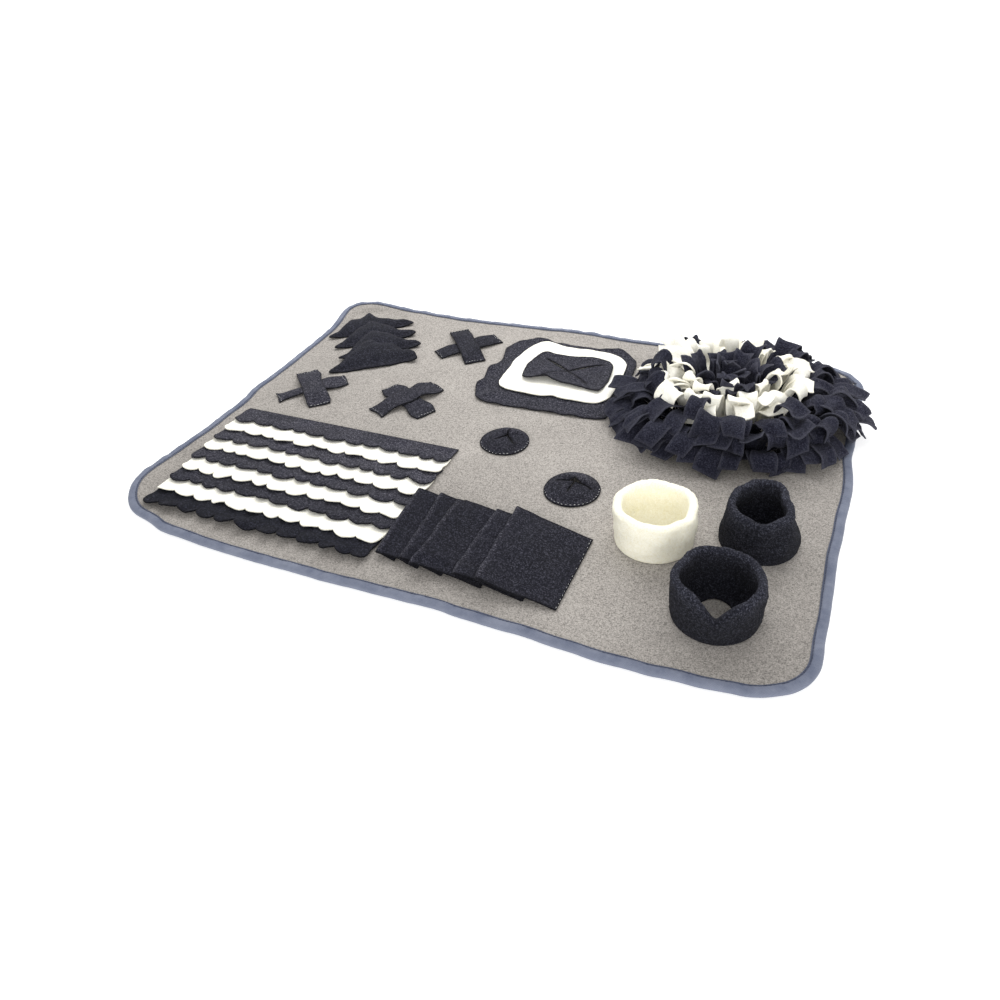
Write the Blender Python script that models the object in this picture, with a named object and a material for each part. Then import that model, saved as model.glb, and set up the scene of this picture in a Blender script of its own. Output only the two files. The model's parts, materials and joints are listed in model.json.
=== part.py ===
"""A snuffle mat for a dog: a bound fleece mat with fleece hiding places sewn on it, lying flat.

Run with: blender --background --python part.py
Metres, +Z up. The origin is the middle of the underside. +X runs along the long side towards the
ruffle, +Y across the mat towards the leaves. Every table is in millimetres, in columns named by
its row type, and MM turns a row into metres. Each piece of cloth is a surface that the Solidify
modifier thickens; it is drawn at its underside unless its function says otherwise.
"""

import math
import random
from collections import namedtuple

import bmesh
import bpy
from mathutils import Vector

MM = 0.001

# ---------------------------------------------------------------- driving dimensions, millimetres
MAT_LENGTH = 650.0
MAT_WIDTH = 500.0
MAT_THICKNESS = 3.0
GAP = 0.3
FLEECE = 1.6
RUFFLE_FLEECE = 1.8
CUP_FLEECE = 2.2
PANEL_FLEECE = 1.6

BINDING_WIDTH = 10.0
BINDING_TAPE = 1.0
TAPE_BULGE = 0.5
BED_BAND = 11.5
BED_RAMP = 20.0

SEWN = MAT_THICKNESS + GAP
TAPE_LIFT = BINDING_TAPE + GAP
TAPE_CLEAR = GAP + BINDING_TAPE / 2
MAT_EDGE = BINDING_TAPE / 2 + TAPE_BULGE + TAPE_CLEAR

# ---------------------------------------------------------------- cloths: colour and roughness
Cloth = namedtuple("Cloth", "name colour roughness")
TAUPE = Cloth("taupe_fleece", (0.376, 0.352, 0.314), 0.95)
CHARCOAL = Cloth("charcoal_fleece", (0.032, 0.032, 0.043), 0.95)
CREAM = Cloth("cream_fleece", (0.905, 0.880, 0.780), 0.95)
BLUE_GREY = Cloth("blue_grey_tape", (0.178, 0.212, 0.305), 0.85)

# ---------------------------------------------------------------- mat outline
Corner = namedtuple("Corner", "side_x side_y radius start_degrees")
CORNERS = (
    Corner(1, -1, 50.0, -90.0),
    Corner(1, 1, 48.0, 0.0),
    Corner(-1, 1, 45.0, 90.0),
    Corner(-1, -1, 76.0, 180.0),
)
CORNER_STEPS = 4
SIDE_STEPS = (7, 5, 7, 5)

EdgeFold = namedtuple("EdgeFold", "x y reach out lift")
EDGE_FOLDS = (
    EdgeFold(-330.0, -165.0, 55.0, 2.5, 1.5),
    EdgeFold(-325.0, -30.0, 50.0, -3.0, 0.0),
    EdgeFold(-322.0, 240.0, 50.0, 2.0, 4.0),
    EdgeFold(-195.0, 250.0, 45.0, -4.0, 0.0),
    EdgeFold(-10.0, 250.0, 40.0, 3.0, 3.0),
    EdgeFold(325.0, 30.0, 50.0, 2.5, 2.0),
    EdgeFold(325.0, -115.0, 60.0, -1.5, 0.5),
    EdgeFold(170.0, -250.0, 50.0, 2.5, 0.0),
    EdgeFold(20.0, -250.0, 45.0, -5.0, 1.5),
    EdgeFold(-110.0, -250.0, 60.0, 2.0, 0.0),
    EdgeFold(-235.0, -250.0, 45.0, -3.5, 0.5),
)

# ---------------------------------------------------------------- scalloped rows
ROW_COUNT = 9
ROW_PITCH = 18.6
ROW_DEPTH = 31.5
ROW_FIRST_Y = -37.5
ROW_LEFT_X = -298.0
ROW_RIGHT_FAR = (-46.5, -112.0)
ROW_RIGHT_NEAR = (-40.5, -186.5)
ROW_CLEARANCE = 0.4
SCALLOPS_PER_ROW = 12
SCALLOP_DROP = 5.5
SCALLOP_UNEVEN = 0.2
SCALLOP_SHIFT = 0.06
LAST_ROW_LONGER = 3.0
SCALLOP_STATIONS = ((0.0, 0.0), (0.24, 1.0), (0.76, 1.0))

# ---------------------------------------------------------------- leaf tiers
LeafTier = namedtuple("LeafTier", "x y turn half_span depth slope left_tip right_tip")
LEAF_SLOPE = 0.072
LEAF_TIERS = (
    LeafTier(-267.0, 175.5, 40.0, 56.0, 46.0, LEAF_SLOPE, 2.5, 2.0),
    LeafTier(-248.0, 151.5, 40.0, 53.0, 50.0, LEAF_SLOPE, 2.0, 3.0),
    LeafTier(-228.5, 127.0, 40.0, 53.0, 50.0, LEAF_SLOPE, 3.0, 3.0),
    LeafTier(-217.0, 95.0, 36.0, 53.0, 55.0, LEAF_SLOPE, 1.0, 8.0),
)
BellPoint = namedtuple("BellPoint", "share height")
LEAF_BELL = (
    BellPoint(0.0, 1.0),
    BellPoint(0.22, 0.90),
    BellPoint(0.45, 0.66),
    BellPoint(0.70, 0.36),
    BellPoint(0.88, 0.15),
    BellPoint(1.0, 0.03),
)
LEAF_TIP_START = 0.6
LEAF_CREST = 1.6
LEAF_CREST_REACH = 0.35
LEAF_BACK_SHARES = (0.0, 0.5, 1.0)

# ---------------------------------------------------------------- crossed strips
Strip = namedtuple("Strip", "name x y turn length width puff")
STRIP_SHARES = (-1.0, -0.78, -0.42, 0.0, 0.42, 0.78, 1.0)
STRIP_ARCH_SHARE = 0.58
UNDER_PUFF = 1.6
OVER_PUFF = UNDER_PUFF + FLEECE + 0.5
STRIPS = (
    Strip("cross_left_under", -258.0, 22.0, 49.6, 82.0, 22.0, UNDER_PUFF),
    Strip("cross_left_over", -258.0, 23.0, -46.6, 86.0, 25.0, OVER_PUFF),
    Strip("cross_front_under", -139.0, 33.0, -30.0, 80.0, 24.0, UNDER_PUFF),
    Strip("cross_front_over", -141.0, 36.0, 62.0, 84.0, 24.0, OVER_PUFF),
    Strip("cross_far_under", -129.0, 173.0, 49.6, 84.0, 23.0, UNDER_PUFF),
    Strip("cross_far_over", -131.0, 173.0, -52.0, 90.0, 25.0, OVER_PUFF),
)

# ---------------------------------------------------------------- layered panels
Panel = namedtuple("Panel", "name cloth left right near far corner base flat_share waves")
PanelWave = namedtuple("PanelWave", "x y reach out lift")
PANEL_STEP = PANEL_FLEECE + GAP
PANELS = (
    Panel("target_outer", CHARCOAL, -78.5, 82.0, 56.0, 217.0, 23.0, SEWN, 0.85, (
        PanelWave(-78.5, 92.0, 12.0, 2.0, 2.0),
        PanelWave(-78.5, 112.0, 8.0, -2.5, 0.0),
        PanelWave(-78.5, 135.0, 12.0, 2.0, 2.5),
        PanelWave(-78.5, 172.0, 12.0, 1.5, 1.5),
        PanelWave(-60.0, 217.0, 16.0, 3.0, 1.5),
        PanelWave(-20.0, 217.0, 14.0, -3.0, 0.0),
        PanelWave(10.0, 217.0, 12.0, 1.5, 1.0),
        PanelWave(48.0, 217.0, 12.0, 3.5, 1.0),
        PanelWave(-20.0, 56.0, 30.0, 0.5, 0.6),
    )),
    Panel("target_middle", CREAM, -53.0, 71.0, 86.0, 207.0, 16.0, SEWN + PANEL_STEP, 0.84, (
        PanelWave(-53.0, 88.0, 22.0, 2.5, 0.5),
        PanelWave(-53.0, 190.0, 30.0, -5.0, 0.0),
        PanelWave(-5.0, 86.0, 10.0, -3.0, 0.5),
        PanelWave(-5.0, 207.0, 20.0, -2.0, 0.0),
        PanelWave(71.0, 195.0, 14.0, 2.0, 0.5),
    )),
    Panel("target_inner", CHARCOAL, -39.0, 61.0, 112.0, 187.0, 15.0, SEWN + 2 * PANEL_STEP, 0.6, (
        PanelWave(-8.0, 112.0, 20.0, -2.0, 4.5),
        PanelWave(35.0, 112.0, 16.0, 1.5, 1.0),
        PanelWave(-15.0, 187.0, 10.0, -3.0, 0.5),
        PanelWave(20.0, 187.0, 16.0, 1.5, 0.5),
        PanelWave(61.0, 172.0, 14.0, -3.0, 0.5),
    )),
)
PANEL_CORNER_STEPS = 3
PANEL_SIDE_STEPS = 5
SLIT_WIDTH = 1.0
CUT_BELOW = 1.0
CUT_ABOVE = 3.0
PANEL_SLIT_CENTRE = (10.0, 148.0)
PANEL_SLIT_ARMS = ((-45.0, 30.0), (38.0, 36.0), (142.0, 34.0), (215.0, 24.0))

# ---------------------------------------------------------------- round patches
Patch = namedtuple("Patch", "name x y radius dome slits")
PATCHES = (
    Patch("round_patch_1", -2.0, -7.0, 25.5, 2.4, ((28.0, 15.0), (150.0, 15.0), (262.0, 12.0))),
    Patch("round_patch_2", 90.0, -64.0, 26.5, 2.4, ((-8.0, 17.0), (148.0, 17.0), (240.0, 12.0))),
)
PATCH_STATIONS = 20
PATCH_RINGS = (1.0, 0.86, 0.4)
PATCH_DOME_SHARE = 0.6
PATCH_SLIT_WIDTH = 1.6

# ---------------------------------------------------------------- pleated flap
FLAP_FAR_Y = -115.0
FLAP_NEAR_Y = -207.0
FLAP_SLANT = -11.0
FLAP_STATIONS = (0.0, 0.5, 1.0)
FoldPoint = namedtuple("FoldPoint", "far_x near_x height folds")
FLAP_FOLDS = (
    FoldPoint(129.0, 128.0, 0.0, False),
    FoldPoint(78.0, 82.0, 8.6, False),
    FoldPoint(53.0, 58.0, 12.2, True),
    FoldPoint(71.0, 75.0, 2.9, True),
    FoldPoint(53.0, 57.0, 5.8, False),
    FoldPoint(36.0, 39.0, 7.6, True),
    FoldPoint(52.0, 55.0, 2.9, True),
    FoldPoint(20.0, 22.0, 6.8, False),
    FoldPoint(0.0, 2.0, 11.0, True),
    FoldPoint(18.0, 20.0, 2.9, True),
    FoldPoint(-4.5, 0.5, 5.3, False),
    FoldPoint(-21.0, -12.0, 7.2, True),
    FoldPoint(-6.0, -2.0, 2.9, True),
    FoldPoint(-25.0, -17.0, 2.6, False),
    FoldPoint(-43.5, -35.5, 3.6, True),
    FoldPoint(-28.0, -20.0, 0.0, False),
)
FOLD_RADIUS = 1.35
FOLD_ARC_STEPS = 3

# ---------------------------------------------------------------- cups
Cup = namedtuple("Cup", "name cloth x y base_x base_y rim_x rim_y height shift_y dents")
Dent = namedtuple("Dent", "degrees reach inward down")
CUPS = (
    Cup("cup_cream", CREAM, 178.0, -104.0, 35.5, 34.0, 37.0, 35.0, 42.0, 0.0, (
        Dent(10.0, 22.0, 1.5, 0.0),
        Dent(215.0, 30.0, 1.0, 1.0),
    )),
    Cup("cup_charcoal_rear", CHARCOAL, 261.0, -74.0, 34.5, 32.5, 28.5, 34.0, 46.0, -2.0, (
        Dent(35.0, 28.0, 5.5, 2.0),
        Dent(250.0, 40.0, -1.0, 2.0),
        Dent(150.0, 25.0, -2.0, 0.0),
    )),
    Cup("cup_charcoal_front", CHARCOAL, 245.5, -174.5, 36.0, 35.5, 34.5, 34.0, 45.0, -1.0, (
        Dent(282.0, 26.0, -2.0, 8.5),
        Dent(345.0, 25.0, -1.0, 0.0),
    )),
)
CUP_STATIONS = 18
CUP_FOLD = 5.2
CUP_FOLD_RADIUS = CUP_FOLD / 2
CUP_FOLD_STEPS = 2
CUP_SEAM = 0.22

# ---------------------------------------------------------------- ruffle
RUFFLE_CENTRE = (205.0, 119.0)
Ring = namedtuple("Ring", "name cloth tabs root_r bend_r bend_z tip_r tip_z tip_width splayed")
Spread = namedtuple("Spread", "degrees reach longer")
RINGS = (
    Ring("ruffle_ring_1", CHARCOAL, 22, 84.0, 104.0, 18.0, 128.0, 13.5, 28.0, True),
    Ring("ruffle_ring_2", CHARCOAL, 20, 73.0, 93.0, 31.0, 119.0, 29.0, 27.0, True),
    Ring("ruffle_ring_3", CHARCOAL, 17, 61.0, 78.0, 42.0, 105.0, 42.0, 27.0, False),
    Ring("ruffle_ring_cream_1", CREAM, 13, 48.0, 61.0, 43.0, 84.0, 51.0, 25.0, False),
    Ring("ruffle_ring_cream_2", CREAM, 10, 37.0, 46.0, 45.0, 62.0, 57.0, 23.0, False),
    Ring("ruffle_ring_centre_1", CHARCOAL, 8, 26.0, 31.0, 40.0, 41.0, 56.0, 22.0, False),
    Ring("ruffle_ring_centre_2", CHARCOAL, 5, 15.0, 18.0, 38.0, 23.0, 59.0, 17.0, False),
)
SPREADS = (
    Spread(-135.0, 32.0, 0.42),
    Spread(15.0, 35.0, 0.20),
)
RING_BAND = 6.0
TAB_BEND_SHARE = 0.45
TAB_YAW = 3.0
TAB_LENGTH_SPREAD = 0.05
TAB_HEIGHT_SPREAD = 2.0
TAB_TWIST = 2.0
RING_SEED = 100


def remove_scene_objects():
    """Empty the scene, so that the script can be run again."""
    for obj in list(bpy.data.objects):
        bpy.data.objects.remove(obj, do_unlink=True)


def cloth_material(cloth):
    """One Principled material per cloth, made the first time that it is asked for."""
    found = bpy.data.materials.get(cloth.name)
    if found:
        return found
    made = bpy.data.materials.new(cloth.name)
    made.use_nodes = True
    shader = made.node_tree.nodes["Principled BSDF"]
    shader.inputs["Base Color"].default_value = (*cloth.colour, 1.0)
    shader.inputs["Roughness"].default_value = cloth.roughness
    shader.inputs["Metallic"].default_value = 0.0
    made.diffuse_color = (*cloth.colour, 1.0)
    return made


def add_object(name, mesh, cloth):
    """Put a mesh in the scene under its node's name, with its cloth."""
    obj = bpy.data.objects.new(name, mesh)
    bpy.context.scene.collection.objects.link(obj)
    if cloth:
        mesh.materials.append(cloth_material(cloth))
    return obj


def thicken(obj, thickness, side):
    """Give a surface its cloth thickness: side 1 grows it upwards, 0 grows it both ways."""
    solid = obj.modifiers.new("cloth thickness", "SOLIDIFY")
    solid.thickness = thickness * MM
    solid.offset = side
    solid.use_even_offset = True
    solid.use_rim = True


def surface(name, rows, cloth, wrap=False, fill=False):
    """A surface of quads through rows of points; wrap closes each row, fill caps the last one."""
    shape = bmesh.new()
    grid = [[shape.verts.new(Vector(point) * MM) for point in row] for row in rows]
    for lower, upper in zip(grid, grid[1:]):
        last = len(lower) if wrap else len(lower) - 1
        for i in range(last):
            j = (i + 1) % len(lower)
            shape.faces.new((lower[i], lower[j], upper[j], upper[i]))
    if fill:
        shape.faces.new(grid[-1])
    mesh = bpy.data.meshes.new(name)
    shape.to_mesh(mesh)
    shape.free()
    return add_object(name, mesh, cloth)


def soft_step(share):
    """0 to 1 with a soft start and end."""
    share = min(max(share, 0.0), 1.0)
    return share * share * (3.0 - 2.0 * share)


def bump(distance, reach):
    """A soft bump: 1 at its middle, near 0 at twice its reach."""
    return math.exp(-((distance / reach) ** 2))


def polar(radius, degrees):
    """X and Y of a point at a radius and an angle from +X."""
    turn = math.radians(degrees)
    return radius * math.cos(turn), radius * math.sin(turn)


# ---------------------------------------------------------------- mat and its binding
def outline_stations():
    """Points round the mat's edge, anticlockwise, each with its outward direction and lift."""
    stations = []
    for index, corner in enumerate(CORNERS):
        centre_x = corner.side_x * (MAT_LENGTH / 2 - corner.radius)
        centre_y = corner.side_y * (MAT_WIDTH / 2 - corner.radius)
        arc = []
        for step in range(CORNER_STEPS + 1):
            turn = corner.start_degrees + 90.0 * step / CORNER_STEPS
            out_x, out_y = polar(1.0, turn)
            place = (centre_x + corner.radius * out_x, centre_y + corner.radius * out_y)
            arc.append((place, (out_x, out_y)))
        if stations:
            stations.extend(side_stations(stations[-1], arc[0], SIDE_STEPS[index]))
        stations.extend(arc)
    stations.extend(side_stations(stations[-1], stations[0], SIDE_STEPS[0]))
    return [wavy_station(place, out) for place, out in stations]


def side_stations(start, end, steps):
    """Points along a straight side, without its two ends."""
    made = []
    for step in range(1, steps):
        share = step / steps
        x = start[0][0] + (end[0][0] - start[0][0]) * share
        y = start[0][1] + (end[0][1] - start[0][1]) * share
        made.append(((x, y), start[1]))
    return made


def wavy_station(place, out):
    """Move a point of the outline in or out, and find its lift, by the table of edge folds."""
    push = 0.0
    lift = 0.0
    for fold in EDGE_FOLDS:
        weight = bump(math.dist(place, (fold.x, fold.y)), fold.reach)
        push += fold.out * weight
        lift += fold.lift * weight
    place = (place[0] + out[0] * push, place[1] + out[1] * push)
    return place, out, lift


def inset(station, distance, height):
    """The point a distance inwards from the mat's edge, at a height."""
    place, out, _ = station
    return place[0] - out[0] * distance, place[1] - out[1] * distance, height


def make_mat(stations):
    """The mat: flat where it rests, raised round its edge by the tape under it and by its folds."""
    edge = [inset(s, MAT_EDGE, TAPE_LIFT + s[2]) for s in stations]
    band = [inset(s, BED_BAND, TAPE_LIFT + s[2]) for s in stations]
    bed = [inset(s, BED_RAMP, 0.0) for s in stations]
    mat = surface("mat_base", (edge, band, bed), TAUPE, wrap=True, fill=True)
    thicken(mat, MAT_THICKNESS, 1)


def make_binding(stations):
    """The bias tape, folded over the mat's edge from its top lip to its bottom lip."""
    bottom = TAPE_LIFT - TAPE_CLEAR
    top = TAPE_LIFT + MAT_THICKNESS + TAPE_CLEAR
    turn = MAT_EDGE - TAPE_CLEAR
    section = (
        (BINDING_WIDTH, top),
        (turn, top),
        (turn - TAPE_BULGE, (top + bottom) / 2),
        (turn, bottom),
        (BINDING_WIDTH, bottom),
    )
    rows = [[inset(s, distance, height + s[2]) for s in stations] for distance, height in section]
    tape = surface("edge_binding", rows, BLUE_GREY, wrap=True)
    thicken(tape, BINDING_TAPE, 0)


# ---------------------------------------------------------------- scalloped rows
def row_right_x(y):
    """The right end of a row sewn at y, which keeps beside the pleated flap's slanting fold."""
    share = (y - ROW_RIGHT_FAR[1]) / (ROW_RIGHT_NEAR[1] - ROW_RIGHT_FAR[1])
    share = min(max(share, 0.0), 1.0)
    return ROW_RIGHT_FAR[0] + (ROW_RIGHT_NEAR[0] - ROW_RIGHT_FAR[0]) * share


def make_scallop_row(index):
    """One row: sewn along its far edge, scalloped along its near edge, lapped over the next."""
    dice = random.Random(index)
    sewn_y = ROW_FIRST_Y - ROW_PITCH * index
    slope = (FLEECE + ROW_CLEARANCE) / ROW_PITCH
    right_x = row_right_x(sewn_y)
    step = (right_x - ROW_LEFT_X) / SCALLOPS_PER_ROW
    longer = LAST_ROW_LONGER if index == ROW_COUNT - 1 else 0.0
    cusp_y = sewn_y - ROW_DEPTH - longer + SCALLOP_DROP
    far = []
    near = []
    for scallop in range(SCALLOPS_PER_ROW):
        drop = SCALLOP_DROP * (1.0 + dice.uniform(-SCALLOP_UNEVEN, SCALLOP_UNEVEN))
        shift = step * dice.uniform(-SCALLOP_SHIFT, SCALLOP_SHIFT)
        for share, depth in SCALLOP_STATIONS:
            x = ROW_LEFT_X + (scallop + share) * step + (shift if depth else 0.0)
            far.append((x, sewn_y))
            near.append((x, cusp_y - drop * depth))
    far.append((right_x, sewn_y))
    near.append((right_x, cusp_y))
    near[0] = (ROW_LEFT_X, cusp_y + SCALLOP_DROP)
    rows = [
        [(x, y, SEWN + slope * (sewn_y - y)) for x, y in near],
        [(x, y, SEWN) for x, y in far],
    ]
    cloth = CREAM if index % 2 else CHARCOAL
    row = surface(f"scallop_row_{index + 1}", rows, cloth)
    thicken(row, FLEECE, 1)


# ---------------------------------------------------------------- leaf tiers
def leaf_stations():
    """Shares across a leaf from its left tip to its right tip, with the bell's height at each."""
    right = list(LEAF_BELL)
    left = [BellPoint(-point.share, point.height) for point in reversed(right[1:])]
    return left + right


def make_leaf(index, tier):
    """One pointed tier: a straight front edge, a bell-shaped back that laps the tier behind."""
    along = polar(1.0, tier.turn)
    back = polar(1.0, tier.turn + 90.0)
    rows = []
    for back_share in LEAF_BACK_SHARES:
        row = []
        for share, height in leaf_stations():
            reach = tier.depth * height * back_share
            x = tier.x + along[0] * share * tier.half_span + back[0] * reach
            y = tier.y + along[1] * share * tier.half_span + back[1] * reach
            tip = tier.right_tip if share > 0 else tier.left_tip
            curl = tip * soft_step((abs(share) - LEAF_TIP_START) / (1.0 - LEAF_TIP_START))
            crest = LEAF_CREST * bump(share, LEAF_CREST_REACH)
            row.append((x, y, SEWN + tier.slope * reach + crest + curl))
        rows.append(row)
    leaf = surface(f"leaf_flap_{index + 1}", rows, CHARCOAL)
    thicken(leaf, FLEECE, 1)


# ---------------------------------------------------------------- crossed strips
def make_strip(strip):
    """One strip of a cross, sewn down at both ends and raised where the two strips cross."""
    along = polar(1.0, strip.turn)
    side = polar(1.0, strip.turn + 90.0)
    rows = []
    for edge in (-0.5, 0.5):
        row = []
        for share in STRIP_SHARES:
            reach = share * strip.length / 2
            x = strip.x + along[0] * reach + side[0] * edge * strip.width
            y = strip.y + along[1] * reach + side[1] * edge * strip.width
            raised = strip.puff * soft_step((1.0 - abs(share)) / STRIP_ARCH_SHARE)
            row.append((x, y, SEWN + raised))
        rows.append(row)
    made = surface(strip.name, rows, CHARCOAL)
    thicken(made, FLEECE, 1)


# ---------------------------------------------------------------- layered panels
def panel_outline(panel):
    """Points round a rounded rectangle, each with its outward direction and its edge wave."""
    half_x = (panel.right - panel.left) / 2
    half_y = (panel.far - panel.near) / 2
    middle = (panel.left + half_x, panel.near + half_y)
    points = []
    for quarter, (side_x, side_y) in enumerate(((1, 1), (-1, 1), (-1, -1), (1, -1))):
        centre_x = middle[0] + side_x * (half_x - panel.corner)
        centre_y = middle[1] + side_y * (half_y - panel.corner)
        for step in range(PANEL_CORNER_STEPS + 1):
            turn = 90.0 * (quarter + step / PANEL_CORNER_STEPS)
            out = polar(1.0, turn)
            place = (centre_x + panel.corner * out[0], centre_y + panel.corner * out[1])
            points.append((place, out))
        along_x = quarter % 2 == 0
        reach = (half_x if along_x else half_y) - panel.corner
        direction = ((-1, 0), (0, -1), (1, 0), (0, 1))[quarter]
        start = points[-1]
        for step in range(1, PANEL_SIDE_STEPS):
            travel = 2 * reach * step / PANEL_SIDE_STEPS
            place = (start[0][0] + direction[0] * travel, start[0][1] + direction[1] * travel)
            points.append((place, start[1]))
    return [wave_panel_point(panel, place, out) for place, out in points]


def wave_panel_point(panel, place, out):
    """Push a panel's edge point in or out and lift it, by the panel's own table of waves."""
    push = 0.0
    lift = 0.0
    for wave in panel.waves:
        weight = bump(math.dist(place, (wave.x, wave.y)), wave.reach)
        push += wave.out * weight
        lift += wave.lift * weight
    return (place[0] + out[0] * push, place[1] + out[1] * push), out, lift


def make_panel(panel):
    """One layer of the target: flat in its middle, with an uneven, slightly lifted edge."""
    outline = panel_outline(panel)
    edge = [(place[0], place[1], panel.base + lift) for place, _, lift in outline]
    middle_x = (panel.left + panel.right) / 2
    middle_y = (panel.near + panel.far) / 2
    flat = []
    for x, y, _ in edge:
        flat_x = middle_x + (x - middle_x) * panel.flat_share
        flat_y = middle_y + (y - middle_y) * panel.flat_share
        flat.append((flat_x, flat_y, panel.base))
    made = surface(panel.name, (edge, flat), panel.cloth, wrap=True, fill=True)
    thicken(made, PANEL_FLEECE, 1)
    return made


def star_cutter(name, centre, arms, width, low, high):
    """A hidden star-shaped prism whose arms are slits: each arm has an angle and a length."""
    arms = sorted(arms)
    points = []
    for index, (degrees, length) in enumerate(arms):
        following = arms[(index + 1) % len(arms)][0]
        opening = (following - degrees) % 360.0
        along = Vector(polar(1.0, degrees))
        side = Vector(polar(width / 2, degrees + 90.0))
        points.append(along * length - side)
        points.append(along * length + side)
        notch = width / 2 / math.sin(math.radians(opening / 2))
        points.append(Vector(polar(notch, degrees + opening / 2)))
    shape = bmesh.new()
    ring = []
    for point in points:
        corner = Vector((centre[0] + point.x, centre[1] + point.y, low))
        ring.append(shape.verts.new(corner * MM))
    base = shape.faces.new(ring)
    grown = bmesh.ops.extrude_face_region(shape, geom=[base])
    top = [item for item in grown["geom"] if isinstance(item, bmesh.types.BMVert)]
    bmesh.ops.translate(shape, vec=(0.0, 0.0, (high - low) * MM), verts=top)
    bmesh.ops.recalc_face_normals(shape, faces=shape.faces)
    mesh = bpy.data.meshes.new(name)
    shape.to_mesh(mesh)
    shape.free()
    cutter = add_object(name, mesh, None)
    cutter.hide_render = True
    cutter.display_type = "WIRE"
    return cutter


def cut(obj, cutter):
    """Cut the slits through a piece of cloth."""
    slits = obj.modifiers.new("slits", "BOOLEAN")
    slits.operation = "DIFFERENCE"
    slits.solver = "EXACT"
    slits.object = cutter


def make_target():
    """Three layered panels, the top one with two slits that cross."""
    made = [make_panel(panel) for panel in PANELS]
    low = PANELS[-1].base - CUT_BELOW
    high = PANELS[-1].base + PANEL_FLEECE + CUT_ABOVE
    arms = PANEL_SLIT_ARMS
    cutter = star_cutter("cut_panel_slits", PANEL_SLIT_CENTRE, arms, SLIT_WIDTH, low, high)
    cut(made[-1], cutter)


# ---------------------------------------------------------------- round patches
def make_patch(patch):
    """A round patch sewn down all round, slightly domed, with three slits that meet."""
    rows = []
    for share in PATCH_RINGS:
        height = SEWN + patch.dome * soft_step((1.0 - share) / PATCH_DOME_SHARE)
        row = []
        for station in range(PATCH_STATIONS):
            x, y = polar(patch.radius * share, 360.0 * station / PATCH_STATIONS)
            row.append((patch.x + x, patch.y + y, height))
        rows.append(row)
    made = surface(patch.name, rows, CHARCOAL, wrap=True, fill=True)
    thicken(made, FLEECE, 1)
    low = SEWN - CUT_BELOW
    high = SEWN + patch.dome + FLEECE + CUT_ABOVE
    name = f"cut_{patch.name}"
    centre = (patch.x, patch.y)
    cut(made, star_cutter(name, centre, patch.slits, PATCH_SLIT_WIDTH, low, high))


# ---------------------------------------------------------------- pleated flap
def fold_arc(at, before):
    """The small round fold where the cloth turns back under itself."""
    side = 1.0 if at[0] > before[0] else -1.0
    made = []
    for step in range(FOLD_ARC_STEPS + 1):
        angle = math.radians(90.0 - 180.0 * step / FOLD_ARC_STEPS)
        x = at[0] + side * FOLD_RADIUS * math.cos(angle)
        made.append((x, at[1] + FOLD_RADIUS * (math.sin(angle) - 1.0)))
    return made


def flap_section(share):
    """The pleats' section at a share of the way from the far end to the near end."""
    spots = []
    for fold in FLAP_FOLDS:
        x = fold.far_x + (fold.near_x - fold.far_x) * share
        spots.append((x, SEWN + FLEECE / 2 + fold.height))
    section = []
    for index, fold in enumerate(FLAP_FOLDS):
        if fold.folds:
            section.extend(fold_arc(spots[index], spots[index - 1]))
        else:
            section.append(spots[index])
    return section


def make_flap():
    """One cloth folded back and forth into knife pleats, sewn down along its right edge."""
    sewn_x = FLAP_FOLDS[0].far_x
    span = sewn_x - FLAP_FOLDS[-2].far_x
    rows = []
    for share in FLAP_STATIONS:
        left_y = FLAP_FAR_Y + (FLAP_NEAR_Y - FLAP_FAR_Y) * share
        row = []
        for x, z in flap_section(share):
            row.append((x, left_y + FLAP_SLANT * (1.0 - (sewn_x - x) / span), z))
        rows.append(row)
    flap = surface("pleated_flap", rows, CHARCOAL)
    thicken(flap, FLEECE, 0)


# ---------------------------------------------------------------- cups
def dented(cup, degrees):
    """How far the cup's rim is pushed in and down at an angle."""
    inward = 0.0
    down = 0.0
    for dent in cup.dents:
        away = abs((degrees - dent.degrees + 180.0) % 360.0 - 180.0)
        weight = bump(away, dent.reach)
        inward += dent.inward * weight
        down += dent.down * weight
    return inward, down


def cup_section(cup, degrees):
    """Radius share and height of the folded wall: up its inner layer and down its outer one."""
    inward, down = dented(cup, degrees)
    top = cup.height - CUP_FLEECE / 2 - down
    spring = top - CUP_FOLD_RADIUS
    base = SEWN + CUP_SEAM
    section = [(-CUP_FOLD, base), (-CUP_FOLD, (base + spring) / 2)]
    for step in range(CUP_FOLD_STEPS + 1):
        angle = math.radians(180.0 - 180.0 * step / CUP_FOLD_STEPS)
        across = CUP_FOLD_RADIUS * (math.cos(angle) - 1.0)
        section.append((across, spring + CUP_FOLD_RADIUS * math.sin(angle)))
    section.append((0.0, (base + spring) / 2))
    section.append((0.0, base))
    return section, inward, top


def make_cup(cup):
    """A tube of fleece folded double at its rim and sewn to the mat by both raw edges."""
    columns = []
    for station in range(CUP_STATIONS):
        degrees = 360.0 * station / CUP_STATIONS
        section, inward, top = cup_section(cup, degrees)
        unit = polar(1.0, degrees)
        column = []
        for across, height in section:
            share = soft_step((height - SEWN) / (top - SEWN))
            reach_x = cup.base_x + (cup.rim_x - cup.base_x) * share - inward * share + across
            reach_y = cup.base_y + (cup.rim_y - cup.base_y) * share - inward * share + across
            x = cup.x + (reach_x - CUP_FLEECE / 2) * unit[0]
            y = cup.y + (reach_y - CUP_FLEECE / 2) * unit[1] + cup.shift_y * share
            column.append((x, y, height))
        columns.append(column)
    made = surface(cup.name, list(zip(*columns)), cup.cloth, wrap=True)
    thicken(made, CUP_FLEECE, 0)


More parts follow.
